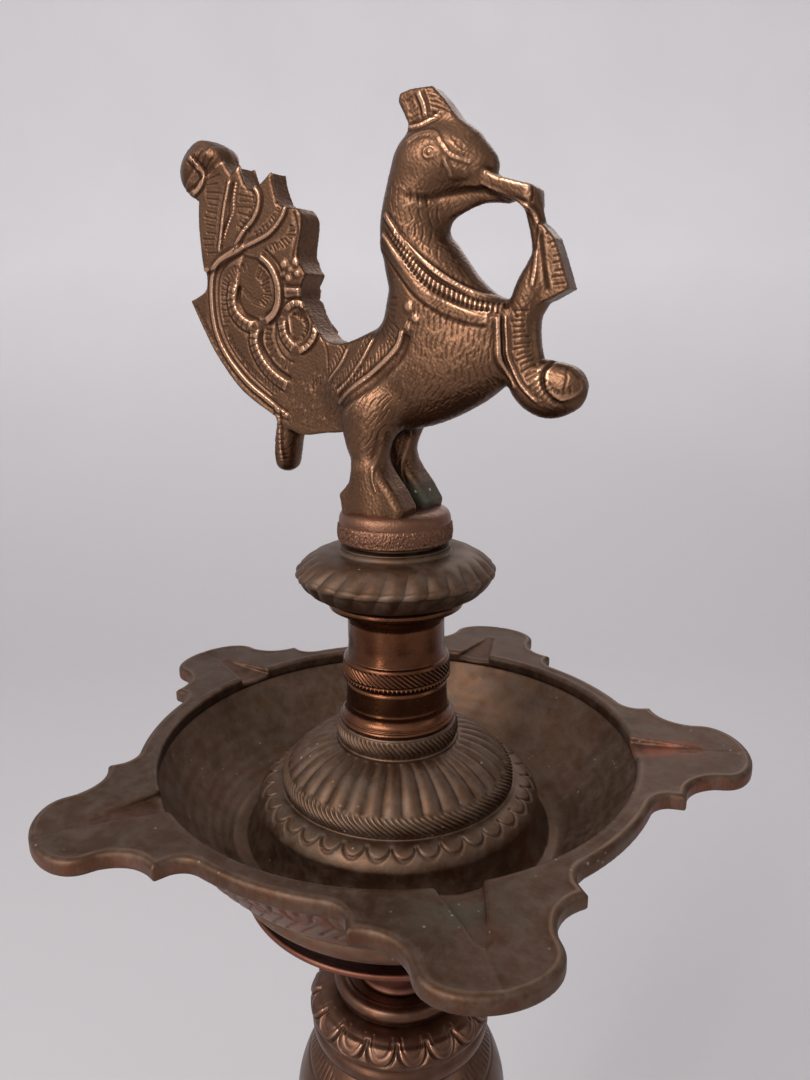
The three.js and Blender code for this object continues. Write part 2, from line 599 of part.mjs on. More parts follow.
// The bird is drawn in its own plane, 143.8 high from the pedestal's underside at a height of 77.6
function birdGeometry() {
  const scale = BIRD_HEIGHT / 143.8;
  const part = (stations, side, steps) => limb(stations.map((row) => row.map((v) => v * scale)), side, steps);
  const blade = (corners, front, back) => (
    flat(corners.map(([x, z]) => new THREE.Vector2(x * scale, z * scale)), front * scale, back * scale)
  );
  const figure = [
    // body
    part([
      [-24, 128, 9, 6], [-10, 131, 14, 10], [8, 135.6, 18.6, 13], [24, 140.6, 17.4, 12],
      [36, 142, 11.6, 9.4], [42, 142.6, 8.5, 7],
    ]),
    // neck, up into the head
    part([
      [14, 138, 16, 12], [15, 151, 16.6, 12], [14.4, 162, 14, 11.4], [10.6, 172, 12, 10.5],
      [8.6, 181, 11.4, 10], [9.6, 190, 10.4, 9.6], [13, 198, 11, 9], [15.6, 202.6, 9.4, 8.4],
    ]),
    // breast between the neck and the vine
    part([[16, 171, 8, 8], [20, 166.4, 8, 8], [28, 157.8, 8, 8], [36, 152, 8, 8], [44, 150.2, 7, 6.5]]),
    // end of the necklace at the back of the neck
    part([[5, 177, 4, 8.6], [0.4, 174.6, 3.4, 5.4]]),
    // head
    part([
      [9, 199, 8, 7.6], [12.6, 199.8, 10, 9], [21.6, 200, 10.4, 9], [29.4, 198, 7.2, 7], [35, 194.4, 4.4, 5],
    ]),
    // throat under the jaw
    part([[18, 186, 5.6, 5.6], [24, 188, 4.6, 4.8], [34, 189.4, 3.2, 4], [42, 187.9, 2.6, 3.5]]),
    // beak, a flat bar that bites the vine
    blade([
      [28, 191.4], [35, 190], [43.6, 186.6], [49.6, 183.2], [51.6, 184.4], [51.6, 188.6], [49.8, 190],
      [40, 192.6], [31, 197],
    ], -4, 4),
    // crest
    blade([
      [10, 205], [8.4, 211.4], [5, 217.6], [5.6, 219.9], [9.6, 221.4], [17, 221], [21, 216.6], [26, 210],
      [31, 205.4], [20, 203],
    ], -4, 4),
    // vine from the beak, down in a loop and into a scroll
    part([
      [49.4, 185.6, 2.4, 3.2], [50.4, 182, 2.6, 2.8], [51.8, 177, 2.6, 3], [53.2, 171, 3.2, 3.8],
      [53, 166, 5, 4.6], [50.6, 160, 6, 5.4], [48, 153, 5.2, 6], [48.2, 143, 5.4, 6], [50, 134.5, 7, 6],
      [56, 131.4, 8.8, 6], [62, 131.6, 7.2, 5.6], [64.8, 132, 5.6, 5],
    ]),
    // leaf on the vine
    blade([
      [52.8, 179], [54.6, 178.4], [58, 174.6], [60.2, 169], [63.2, 160.4], [57, 157.4], [53.4, 156.6],
    ], -4, 3.4),
    // spur that hangs from the tail
    part([[-42, 126, 7, 5], [-46.6, 112, 5, 6], [-47.8, 104, 4.4, 6], [-47.9, 100.4, 3.4, 5]]),
    // curl at the tail's tip
    part([[-70, 208.6, 4.2, 6.4], [-75.8, 211, 4.6, 7.2], [-83.2, 207.4, 5.4, 7.4], [-83.8, 203, 3.8, 5.6]], -1.5),
    tailGeometry(scale),
  ];
  for (const side of [-1, 1]) {
    figure.push(part([
      [-2, 126, 11.5, 7], [-4.6, 114, 8.6, 6.8], [-4, 107.5, 6.6, 6], [-3.4, 101, 6, 5.6],
      [-2.6, 95.5, 7, 6.2], [-1.4, 91.6, 10, 7], [-0.9, 89, 11.6, 7.2],
    ], side * LEG_SPREAD));
  }
  const ground = toSolid(new THREE.BoxGeometry(PEDESTAL_RADIUS * 2, PEDESTAL_RADIUS * 2, PEDESTAL_HEIGHT)
    .translate(0, 0, PEDESTAL_BAND - PEDESTAL_HEIGHT / 2));
  const pedestal = toSolid(turned([
    [0.01, 0],
    [PEDESTAL_RADIUS - 0.6, 0],
    [PEDESTAL_RADIUS, 0.6],
    [PEDESTAL_RADIUS, PEDESTAL_BAND],
    [PEDESTAL_RADIUS - 1.4, PEDESTAL_BAND + 1.6],
    [PEDESTAL_RADIUS - 4, PEDESTAL_HEIGHT],
    [0.01, PEDESTAL_HEIGHT],
  ], 28));
  const socket = toSolid(bar(BORE, -1, STUD_UP + STUD_CLEARANCE));
  const upright = joined(...figure).translate([0, 0, -77.6 * scale]).subtract(ground);
  return toGeometry(upright.add(pedestal).subtract(socket));
}

const METAL = {
  bronze: { color: 0x6a5145, roughness: 0.45, metalness: 0.9 },
  dusty: { color: 0x5e5750, roughness: 0.6, metalness: 0.8 },
  copper: { color: 0x7a5a4c, roughness: 0.35, metalness: 0.95 },
  thread: { color: 0x8a7350, roughness: 0.5, metalness: 0.9 },
};

function named(name, geometry, metal, height) {
  const mesh = new THREE.Mesh(geometry, new THREE.MeshStandardMaterial(METAL[metal]));
  mesh.name = name;
  mesh.position.z = height;
  return mesh;
}

const lamp = new THREE.Group();

// The stack from the floor up: each piece stands on the one before with a threaded stud between
const stack = [
  { name: 'bell_foot', geometry: footGeometry(), length: FOOT_HEIGHT, metal: 'bronze' },
  { name: 'lower_column', geometry: vaseGeometry(), length: VASE_LENGTH, metal: 'bronze' },
  { name: 'middle_knop', geometry: knopGeometry(), length: KNOP_LENGTH, metal: 'bronze' },
  { name: 'upper_column', geometry: globeGeometry(), length: GLOBE_LENGTH, metal: 'bronze' },
  { name: 'drip_dish', geometry: dishGeometry(), length: DISH_LENGTH, metal: 'copper' },
  { name: 'oil_bowl', geometry: bowlGeometry(), length: RIM_ABOVE_SEAT + DOME_TOP_HEIGHT, metal: 'dusty' },
  { name: 'neck_spool', geometry: neckGeometry(), length: NECK_LENGTH, metal: 'copper' },
  { name: 'gadrooned_knob', geometry: knobGeometry(), length: KNOB_LENGTH, metal: 'dusty' },
  { name: 'bird_finial', geometry: birdGeometry(), length: 0, metal: 'bronze' },
];

let seat = 0;
stack.forEach((piece, i) => {
  lamp.add(named(piece.name, piece.geometry, piece.metal, seat));
  if (i > 0) {
    const stud = bar(STUD_RADIUS, -SEAT_GAP - STUD_DOWN, STUD_UP);
    lamp.add(named(`${piece.name}_stud`, stud, 'thread', seat));
  }
  seat += piece.length + SEAT_GAP;
});

export default lamp;
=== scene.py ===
import math
import bpy
import numpy as np
from mathutils import Matrix, Vector


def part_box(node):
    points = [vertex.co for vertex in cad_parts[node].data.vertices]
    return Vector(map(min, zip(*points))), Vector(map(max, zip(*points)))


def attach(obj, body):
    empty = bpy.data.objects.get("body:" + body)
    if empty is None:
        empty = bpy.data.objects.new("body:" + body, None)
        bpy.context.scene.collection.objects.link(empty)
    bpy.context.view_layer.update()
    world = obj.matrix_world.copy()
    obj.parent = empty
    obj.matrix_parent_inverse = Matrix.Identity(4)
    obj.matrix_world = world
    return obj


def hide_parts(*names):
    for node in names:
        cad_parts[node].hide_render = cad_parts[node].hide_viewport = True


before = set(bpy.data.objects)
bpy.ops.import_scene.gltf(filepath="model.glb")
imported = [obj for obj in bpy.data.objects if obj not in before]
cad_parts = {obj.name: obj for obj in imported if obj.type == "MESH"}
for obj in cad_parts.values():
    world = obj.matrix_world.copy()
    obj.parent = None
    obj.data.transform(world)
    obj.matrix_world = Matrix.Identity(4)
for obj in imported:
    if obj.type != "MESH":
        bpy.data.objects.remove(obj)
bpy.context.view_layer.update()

MM = 0.001
TAU = 2 * math.pi
rng = np.random.default_rng(7)

BROAD = 60.0  # lobes up to about this many around a piece count as its form, and don't darken it
BORE = 5.4  # radius of the hole for a stud
THREAD_PITCH = 2.5
DOME_FLUTES = 36
KNOB_FLUTES = 28
PETALS = 18  # round the column's collar

# Heights of the seats above the floor, in millimetres
SEAT = {name: round(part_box(name)[0].z / MM, 2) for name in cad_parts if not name.endswith("stud")}
RIM_HEIGHT = 53.0  # of the plate's top above the bowl's seat
RIM = SEAT["oil_bowl"] + RIM_HEIGHT

# Directions of the spouts round the rim
SPOUTS = 5
SPOUT_ANGLES = [math.radians(25.9 + 360 / SPOUTS * k) for k in range(SPOUTS)]

# The plate on the rim: its circles, half its thickness, and half a spout's width
PLATE_OUTER = 95.5
PLATE_INNER = 87.7
PLATE_HALF = 2.75
SPOUT_HALF = 19.6
TIP_START = 116.0  # where a spout's round tip starts, from the axis
TIP_LENGTH = 13.0

# A wick notch narrows and rises from its start to its round end
NOTCH_START = 82.0
NOTCH_END = 106.0
NOTCH_ROUND = 6.5  # how far the round end reaches
NOTCH_BROAD = 8.5
NOTCH_NARROW = 2.6
NOTCH_DEPTH = 4.0


# Meshes

def placed(name, data):
    """A new object of the scene."""
    obj = bpy.data.objects.new(name, data)
    bpy.context.scene.collection.objects.link(obj)
    return obj


def mesh_object(name, verts, faces, body, material, nodes, relief, wear=None, patina=None):
    """A mesh from arrays in millimetres, riding on a body of the frame."""
    faces = np.asarray(faces, np.int32)
    mesh = bpy.data.meshes.new(name)
    mesh.vertices.add(len(verts))
    mesh.vertices.foreach_set("co", (np.asarray(verts, np.float64) * MM).astype(np.float32).ravel())
    corners = faces.shape[1]
    mesh.loops.add(faces.size)
    mesh.loops.foreach_set("vertex_index", faces.ravel())
    mesh.polygons.add(len(faces))
    mesh.polygons.foreach_set("loop_start", np.arange(0, faces.size, corners, dtype=np.int32))
    mesh.update(calc_edges=True)
    mesh.validate()
    mesh.polygons.foreach_set("use_smooth", np.ones(len(mesh.polygons), bool))
    for key, value in (("relief", relief), ("wear", wear), ("patina", patina)):
        value = np.zeros(len(verts), np.float32) if value is None else np.asarray(value, np.float32).ravel()
        mesh.attributes.new(key, "FLOAT", "POINT").data.foreach_set("value", value)
    mesh.materials.append(material)
    obj = placed(name, mesh)
    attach(obj, body)
    if nodes:
        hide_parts(*nodes)


def bow(a, b, sag, steps):
    """Points of a curve from a to b that bows to the right of its direction."""
    a, b = np.array(a, float), np.array(b, float)
    d = b - a
    length = np.hypot(*d)
    c = (a + b) / 2 + 2 * sag * np.array([d[1], -d[0]]) / length
    t = np.linspace(0, 1, steps + 1)[:, None]
    return ((1 - t) ** 2 * a + 2 * t * (1 - t) * c + t ** 2 * b).tolist()


def bead(r, z, radius, start, end, steps=10):
    """Part of a round section, from one angle to another in degrees."""
    angles = np.radians(np.linspace(start, end, steps + 1))
    return np.column_stack([r + radius * np.cos(angles), z + radius * np.sin(angles)]).tolist()


def dense(outline, step):
    """The closed outline with points no further apart than step."""
    points = np.array(outline, float)
    out = []
    for a, b in zip(points, np.roll(points, -1, 0)):
        n = max(1, int(np.ceil(np.hypot(*(b - a)) / step)))
        out.append(a + (b - a) * np.arange(n)[:, None] / n)
    out = np.concatenate(out)
    keep = np.hypot(*(out - np.roll(out, 1, 0)).T) > 1e-4
    return out[keep]


def turned(name, outline, sides, body, material, nodes, relief, step, lift, worn=None):
    """A turned piece from a closed outline of (radius, height), with relief along the outline's normal.

    relief and worn take radius, height, angle and the normal's two parts."""
    p = dense(outline, step)
    t = np.roll(p, -1, 0) - np.roll(p, 1, 0)
    t /= np.maximum(np.hypot(*t.T), 1e-9)[:, None]
    normal = np.column_stack([t[:, 1], -t[:, 0]])
    theta = np.linspace(0, TAU, sides, endpoint=False)[None, :]
    r, z = p[:, :1], p[:, 1:]
    d = np.zeros((len(p), sides)) + relief(r, z, theta, normal[:, :1], normal[:, 1:])
    rr = r + normal[:, :1] * d
    zz = z + normal[:, 1:] * d + 0 * theta
    verts = np.stack([rr * np.cos(theta), rr * np.sin(theta), zz + lift], -1).reshape(-1, 3)
    n = len(p)
    i, j = np.meshgrid(np.arange(n), np.arange(sides), indexing="ij")
    i1, j1 = (i + 1) % n, (j + 1) % sides
    faces = np.stack([i * sides + j, i * sides + j1, i1 * sides + j1, i1 * sides + j], -1).reshape(-1, 4)
    wave_count = np.arange(sides // 2 + 1)
    broad = np.fft.irfft(np.fft.rfft(d, axis=1) * hump(wave_count, BROAD), sides, axis=1)
    wear = None if worn is None else worn(r, z + 0 * theta, theta, normal[:, :1], normal[:, 1:])
    # relief: the cuts less their broad form; the material darkens the cuts and lightens what stands between
    # them, partly as painted highlight
    mesh_object(name, verts, faces, body, material, nodes, d - 0.85 * broad, wear)


def dress(node, outline, sides, material, relief, step=0.9, above=0.0, worn=None):
    """A turned piece in place of a node; above is the height of its zero over the node's seat."""
    turned(node + "_skin", outline, sides, node, material, [node], relief, step, SEAT[node] + above,
           worn)


# Relief patterns, in millimetres

def unit(value):
    """The value held between 0 and 1."""
    return np.clip(value, 0, 1)


def hump(offset, width):
    """A rounded hump, 1 where offset is 0."""
    return np.exp(-(offset / width) ** 2)


def span(value, low, high, soft):
    """1 between low and high, with soft edges."""
    return unit((value - low) / soft + 0.5) * unit((high - value) / soft + 0.5)


def wave(phase, sharp=1.0):
    """Round lobes with narrow grooves: 0 on a crest and -1 in a groove."""
    return np.abs(np.cos(phase / 2)) ** sharp - 1


def ring(offset, width, depth):
    """A thin round groove where offset is 0."""
    return -depth * hump(offset, width)


def rope(theta, along, count, slant, depth):
    """Slanted strokes cut across a round band."""
    stroke = 0.5 + 0.5 * np.cos(count * (theta + slant * along))
    return -depth * stroke ** 2.2


def arcs(theta, along, r, count, start, radius, width, depth, shift=0.0):
    """A row of round arcs cut in a band, open towards the low side of along."""
    pitch = TAU / count
    u = (((theta + shift * pitch) / pitch) % 1.0 - 0.5) * pitch * r
    v = along - start
    gap = np.abs(np.hypot(u, np.maximum(v, 0)) - radius)
    return -depth * hump(gap, width) * (v > -0.8)


def strokes(theta, along, count, low, high, width, depth, lean=0.0, wobble=0.0):
    """Short straight cuts side by side in a band."""
    phase = (theta * count / TAU + lean * (along - low)) % 1.0 - 0.5
    jitter = 1 + wobble * np.sin(theta * 17.3) * np.sin(theta * 5.1 + 1)
    return -depth * hump(phase, width) * span(along, low, high * jitter + low * (1 - jitter), 0.8)


# Materials

class Nodes:
    """A short way to write a shader's node tree."""

    def __init__(self, name):
        self.material = bpy.data.materials.new(name)
        self.material.use_nodes = True
        self.tree = self.material.node_tree
        self.shader = self.tree.nodes["Principled BSDF"]

    def add(self, kind, inputs=None, **settings):
        node = self.tree.nodes.new(kind)
        for key, value in settings.items():
            setattr(node, key, value)
        for key, value in (inputs or {}).items():
            self.put(node.inputs[key], value)
        return node

    def put(self, socket, value):
        if isinstance(value, bpy.types.NodeSocket):
            self.tree.links.new(value, socket)
        else:
            socket.default_value = value

    def math(self, operation, a, b, clamp=False):
        node = self.add("ShaderNodeMath", operation=operation, use_clamp=clamp)
        self.put(node.inputs[0], a)
        self.put(node.inputs[1], b)
        return node.outputs[0]

    def times(self, a, b):
        return self.math("MULTIPLY", a, b)

    def attribute(self, name):
        return self.add("ShaderNodeAttribute", attribute_name=name).outputs["Fac"]

    def noise(self, vector, scale, detail, rough, distortion):
        inputs = {"Vector": vector, "Scale": scale, "Detail": detail, "Roughness": rough,
                  "Distortion": distortion}
        return self.add("ShaderNodeTexNoise", inputs).outputs["Fac"]

    def surface(self, name, value):
        self.put(self.shader.inputs[name], value)

    def ramp(self, value, low, high, a=0.0, b=1.0):
        limits = {"From Min": low, "From Max": high, "To Min": a, "To Max": b}
        node = self.add("ShaderNodeMapRange", limits, clamp=True)
        self.put(node.inputs["Value"], value)
        return node.outputs["Result"]

    def mix(self, factor, a, b):
        node = self.add("ShaderNodeMix", data_type="RGBA", blend_type="MIX")
        self.put(node.inputs["Factor"], factor)
        self.put(node.inputs["A"], a)
        self.put(node.inputs["B"], b)
        return node.outputs["Result"]


def colour(hex_code):
    """An sRGB colour code as linear values."""
    values = [int(hex_code[i:i + 2], 16) / 255 for i in (0, 2, 4)]
    return tuple(v / 12.92 if v <= 0.04045 else ((v + 0.055) / 1.055) ** 2.4 for v in values) + (1.0,)


# Colours of rubbed metal, dust film, crust and its crumbs
RUBBED = "8c5542"
FILM = "7a6f66"
CRUST = "49483b"
CRUMBS = "b5aca3"


def metal(name, base, warm, dark, bright, rough, grain=0.25, dust=0.0, specks=0.0, deep=0.6, polish=0.0):
    """Aged metal: two tones in patches, dark recesses, crests made lighter partly as wear and partly as
    painted highlight, fine pits, dust and specks.

    The mesh says where it is cut, rubbed bare and crusted, as relief, wear and patina. On the bird, relief
    also holds painted shade in crevices and painted highlight on thin edges."""
    n = Nodes(name)
    where = n.add("ShaderNodeTexCoord").outputs["Object"]
    patches = n.noise(where, 28, 5, 0.6, 0.6)
    clouds = n.noise(where, 95, 5, 0.6, 0.3)
    pits = n.noise(where, 900, 3, 0.6, 0.0)
    relief = n.attribute("relief")
    uneven = n.math("SUBTRACT", clouds, 0.5)
    # recess: sunk relief made darker; on the bird this includes painted shade in crevices
    recess = n.ramp(n.math("ADD", relief, n.times(uneven, 0.5)), -deep, -0.04, 1.0, 0.0)
    # crest: raised relief made lighter, partly as worn metal and partly as painted highlight
    crest = n.ramp(n.math("ADD", relief, n.times(uneven, 0.4)), 0.1, 0.35)
    dusty = n.times(n.ramp(n.noise(where, 160, 6, 0.7, 0.2), 0.42, 0.66), dust)
    crust = n.times(n.attribute("patina"), n.ramp(n.noise(where, 210, 5, 0.7, 0.3), 0.36, 0.56))
    film = n.math("MAXIMUM", dusty, crust)
    cells = n.add("ShaderNodeTexVoronoi", {"Vector": where, "Scale": 240.0, "Randomness": 1.0})
    gap = cells.outputs["Distance"]
    dots = n.times(n.ramp(gap, 0.06, 0.13, 1.0, 0.0), n.ramp(n.noise(where, 60, 2, 0.5, 0.0), 0.52, 0.6))
    crumbs = n.times(n.ramp(gap, 0.14, 0.2, 1.0, 0.0), n.ramp(crust, 0.75, 0.95))
    dots = n.math("MAXIMUM", n.times(dots, specks), crumbs)

    tone = n.mix(n.ramp(patches, 0.4, 0.62), colour(base), colour(warm))
    tone = n.mix(n.times(n.ramp(clouds, 0.45, 0.7), 0.3), tone, colour(dark))
    tone = n.mix(n.times(recess, 0.8), tone, colour(dark))
    tone = n.mix(n.times(crest, 0.7), tone, colour(bright))
    tone = n.mix(n.times(n.attribute("wear"), n.ramp(clouds, 0.35, 0.6)), tone, colour(RUBBED))
    tone = n.mix(dusty, tone, colour(FILM))
    tone = n.mix(crust, tone, colour(CRUST))
    n.surface("Base Color", n.mix(dots, tone, colour(CRUMBS)))

    shine = n.math("ADD", n.ramp(clouds, 0.3, 0.7, rough[0], rough[1]), n.times(film, 0.3))
    shine = n.math("SUBTRACT", shine, n.times(crest, 0.12 + polish))
    shine = n.math("ADD", shine, n.times(recess, 0.2))
    n.surface("Roughness", n.math("ADD", shine, n.times(dots, 0.4), clamp=True))
    bare = n.math("SUBTRACT", 1.0, n.math("ADD", dots, n.times(film, 0.5)), clamp=True)
    n.surface("Metallic", bare)
    height = n.math("ADD", n.times(pits, 0.5), clouds)
    bump = n.add("ShaderNodeBump", {"Strength": grain, "Distance": 0.0004, "Height": height})
    n.surface("Normal", bump.outputs["Normal"])
    return n.material


BRONZE = metal("aged_bronze", "664a38", "70523e", "352219", "cca083", rough=(0.3, 0.44), deep=0.75)
DUSTY = metal("dusty_bronze", "604a3a", "684e3d", "33241b", "a5846d", rough=(0.42, 0.56), dust=0.3,
              specks=0.4)
COPPER = metal("dark_copper", "603c29", "6a432d", "24130c", "bd8a6c", rough=(0.22, 0.32), dust=0.06,
               polish=0.05)
# The drip dish is lighter than the neck's copper and has more dust film: painted light on a dish that lies in
# the bowl's shade.
DISH = metal("drip_copper", "74483a", "7d503f", "38201a", "b98d75", rough=(0.38, 0.5), dust=0.15)
COLUMN = metal("column_bronze", "5c4033", "664838", "2a1a13", "b08a70", rough=(0.28, 0.4), dust=0.12)
PLATE = metal("plate_bronze", "553f30", "5d4536", "2c2018", "9c7b63", rough=(0.42, 0.56), dust=0.28,
              specks=0.4)
# Its bright colour gives the pedestal's granules their painted glints.
GRANULAR = metal("granular_copper", "765342", "805c49", "341f16", "dcb298", rough=(0.32, 0.5), grain=0.9)
THREAD = metal("bare_thread", "9a7a4a", "a98a55", "3a2a16", "d8bd88", rough=(0.25, 0.4))


# Turned pieces

def foot():
    r, step_r, step_z, rim, top = 129.3, 72.0, 43.0, 9.0, 96.0
    outer = [
        *bead(23.6, top - 4, 3.2, 75, -75),
        *bow([22, top - 9], [22, top - 12], -0.4, 4),
        *bow([22.4, top - 13], [step_r - 7, step_z + 4.5], 9, 24),
        *bead(step_r - 3.6, step_z + 1.2, 3.4, 110, -30),
        *bow([step_r + 0.5, step_z - 2.2], [step_r + 2, step_z - 4.2], 0.6, 4),
        *bow([step_r + 3, step_z - 5], [r - 15, rim + 13], -6, 26),
        *bead(r - 12.4, rim + 9.2, 3.4, 120, -50),
        *bow([r - 9.4, rim + 5], [r - 5, rim + 2.2], 0.9, 5),
        *bead(r - 4.2, 4.6, 4.2, 88, -40, 12),
        [r - 2, 0],
    ]
    inner = [
        [r - 7, 0], [r - 7.4, rim - 3], *bow([r - 17, rim + 3.5], [step_r + 3, step_z - 11], 6, 8),
        *bow([step_r - 7, step_z - 5], [21, top - 23], -9, 10), [10, top - 15], [BORE, top - 15],
    ]

    def relief(rr, z, th, nr, nz):
        up = span(z, 14, 94, 0.5) * (nz + 0.6 * nr > 0)
        band = span(rr, r - 15.6, r - 9.4, 0.8) * span(z, rim + 4, rim + 14, 0.5)
        d = band * rope(th, rr + z, 150, 0.02, 0.7)
        step = span(rr, step_r - 6, step_r, 0.6) * span(z, step_z - 1, step_z + 6, 0.5)
        d += step * rope(th, rr + z, 96, 0.03, 0.7)
        skirt = span(rr, step_r + 5, r - 17, 0.5) * up
        d += skirt * arcs(th, rr, rr, 36, step_r + 8, 5.2, 0.45, 0.55)
        d += skirt * arcs(th, rr, rr, 36, step_r + 8, 3.4, 0.4, 0.45)
        d += skirt * strokes(th, rr, 144, r - 27, r - 18, 0.16, 0.5, 0.02, 0.2)
        bell = span(rr, 27, step_r - 9, 0.5) * up
        d += bell * strokes(th, rr, 48, 36, 60, 0.1, 0.6, 0.0, 0.1)
        d += bell * arcs(th, rr, rr, 24, 58, 5.6, 0.45, 0.5, 0.5)
        return d

    dress("bell_foot", inner[::-1] + outer[::-1] + [[BORE, top]], 960, BRONZE, relief)


def lower_column():
    top = 87.4
    mid = top * 0.57
    outer = [
        [BORE, 0], [22.6, 0], *bead(20.6, 4.2, 3.6, -80, 80, 12), *bow([19.6, 8.2], [18.4, 10.4], -0.5, 4),
        *bow([16.6, 12], [31, mid], 4, 22), *bow([31, mid], [16.6, top - 16], 5, 20)[1:],
        *bow([14.6, top - 13], [15.2, top - 8], -0.5, 5), *bead(17.6, top - 3.4, 3.2, -85, 85, 10),
        [17, top], [BORE, top],
    ]

    def relief(r, z, th, nr, nz):
        out = nr > -0.2
        d = out * span(z, 14, mid - 2, 1.2) * 1.1 * wave(24 * th, 0.8) * unit((z - 14) / 16) ** 0.5
        d += out * span(z, 1.4, 7.2, 0.6) * rope(th, z, 48, 0.04, 0.5)
        d += out * strokes(th, z, 48, mid + 6, mid + 13, 0.12, 0.5)
        d += out * ring(z - mid - 3, 0.5, 0.4)
        d += out * span(z, top - 6.4, top - 0.6, 0.6) * rope(th, z, 40, 0.05, 0.4)
        return d

    dress("lower_column", outer, 480, BRONZE, relief)


def middle_knop():
    top, c = 47.0, 47.0 * 0.43
    outer = [
        [BORE, 0], [21.6, 0], *bead(20, 2.4, 2.4, -80, 80, 10), *bow([19, 5], [17.6, 7.6], -0.4, 4),
        *bow([17.4, 8.5], [29, c], 3.4, 16), *bow([29, c], [16.4, c + 11.5], 3.4, 16)[1:],
        *bow([14.6, c + 13.6], [15.4, top - 7.4], -0.8, 8), *bead(19.6, top - 3, 2.8, -85, 85, 10),
        [19, top], [BORE, top],
    ]

    def relief(r, z, th, nr, nz):
        out = nr > -0.2
        d = out * span(z, 9, c + 10.5, 1.0) * 0.9 * wave(28 * (th - 0.02 * (z - c)), 0.8)
        d = d * (1 - hump(z - c, 1.4))
        d += out * span(z, 0.8, 4.2, 0.5) * rope(th, z, 54, 0.05, 0.4)
        d += out * span(z, top - 5.6, top - 0.8, 0.5) * rope(th, z, 54, -0.05, 0.4)
        return d

    dress("middle_knop", outer, 504, BRONZE, relief)


def upper_column():
    top = 100.1
    collar, waist, c = top - 12, top - 29.8, 40.0
    outer = [
        [BORE, 0], [23.4, 0], *bow([23.9, 0.6], [23.9, 3.2], 0.3, 4), *bow([22, 4.4], [20.4, 7.6], -0.5, 5),
        *bow([20.4, 8.4], [24.6, 13], -0.8, 6), *bow([25.5, 13.5], [44, c], 5.6, 24),
        *bow([44, c], [30.8, waist], 3.2, 22)[1:], *bow([30.8, waist + 0.6], [35.2, waist + 5], -0.7, 6),
        *bow([35.6, waist + 5.6], [36.1, collar - 7.6], 0.5, 6),
        *bow([35.6, collar - 6.6], [35.2, collar - 4.6], -0.3, 4),
        *bow([35.6, collar - 4.2], [37.1, collar - 1.4], 0.5, 5),
        *bow([37.1, collar - 0.8], [26, collar + 6.6], 2.0, 16),
        *bow([25.2, collar + 7], [24.4, top - 4.4], -0.5, 4), *bead(23.8, top - 2.1, 3.3, -62, 150, 22),
        [BORE, top],
    ]

    def relief(r, z, th, nr, nz):
        out = (nr > -0.2) * (r > 24)
        along = collar + 7 - z
        inside = arcs(th, along, r, PETALS, 3.0, 5.5, 0.6, 0.9)
        inside = inside + arcs(th, along, r, PETALS, 2.0, 3.6, 0.42, 0.22)
        d = out * span(z, collar - 9, collar + 6, 0.6) * inside
        pitch = TAU / PETALS
        u = ((th / pitch) % 1.0 - 0.5) * pitch * r
        tongue = np.hypot(u, np.maximum(along - 3, 0)) < 5.3
        d += out * 0.45 * tongue * span(z, collar - 9, collar + 4, 1.0)
        d += out * span(z, waist + 2, waist + 5, 0.6) * rope(th, z, 80, 0.02, 0.35)
        globe = out * span(z, 16, waist - 1, 1.0)
        d += globe * strokes(th, z, 90, waist - 8, waist - 3, 0.14, 0.4, 0.05, 0.2)
        d += globe * ring(z - waist + 10, 0.45, 0.4)
        d += globe * ring(z - c - 3, 0.4, 0.4) + globe * ring(z - c + 3, 0.4, 0.4)
        d += globe * (z < c - 5) * 0.8 * wave(24 * th, 0.8) * unit((c - 5 - z) / 8) ** 0.5
        return d

    dress("upper_column", outer, 720, COLUMN, relief, 0.7)


def drip_dish():
    top = 50.0
    rim = top - 1.6
    outer = [
        [BORE, 0], [17, 0], *bow([17.2, 0.6], [16.3, 3.4], -0.3, 5), [16.2, rim - 27],
        *bow([16.4, rim - 26], [24, rim - 15.8], -2.2, 10),
        *bow([24.6, rim - 15.4], [60, rim - 1.8], 2.2, 24),
        *bead(59.2, rim - 0.9, 1.1, -50, 140, 8), *bow([57.6, rim - 1.2], [20, rim - 13], -2.2, 24),
        *bow([19, rim - 13], [12.2, rim - 9], -1.5, 6), [12, top], [BORE, top],
    ]

    def relief(r, z, th, nr, nz):
        inside = (nz > 0.3) * span(r, 20, 57, 1.0)
        rings = 0.12 * np.sin(r * 2.1) * inside
        under = (nz < -0.2) * span(r, 26, 57, 1.0)
        return rings + under * (ring(r - 50, 0.5, 0.3) + ring(r - 36, 0.5, 0.3))

    dress("drip_dish", outer, 360, DISH, relief)


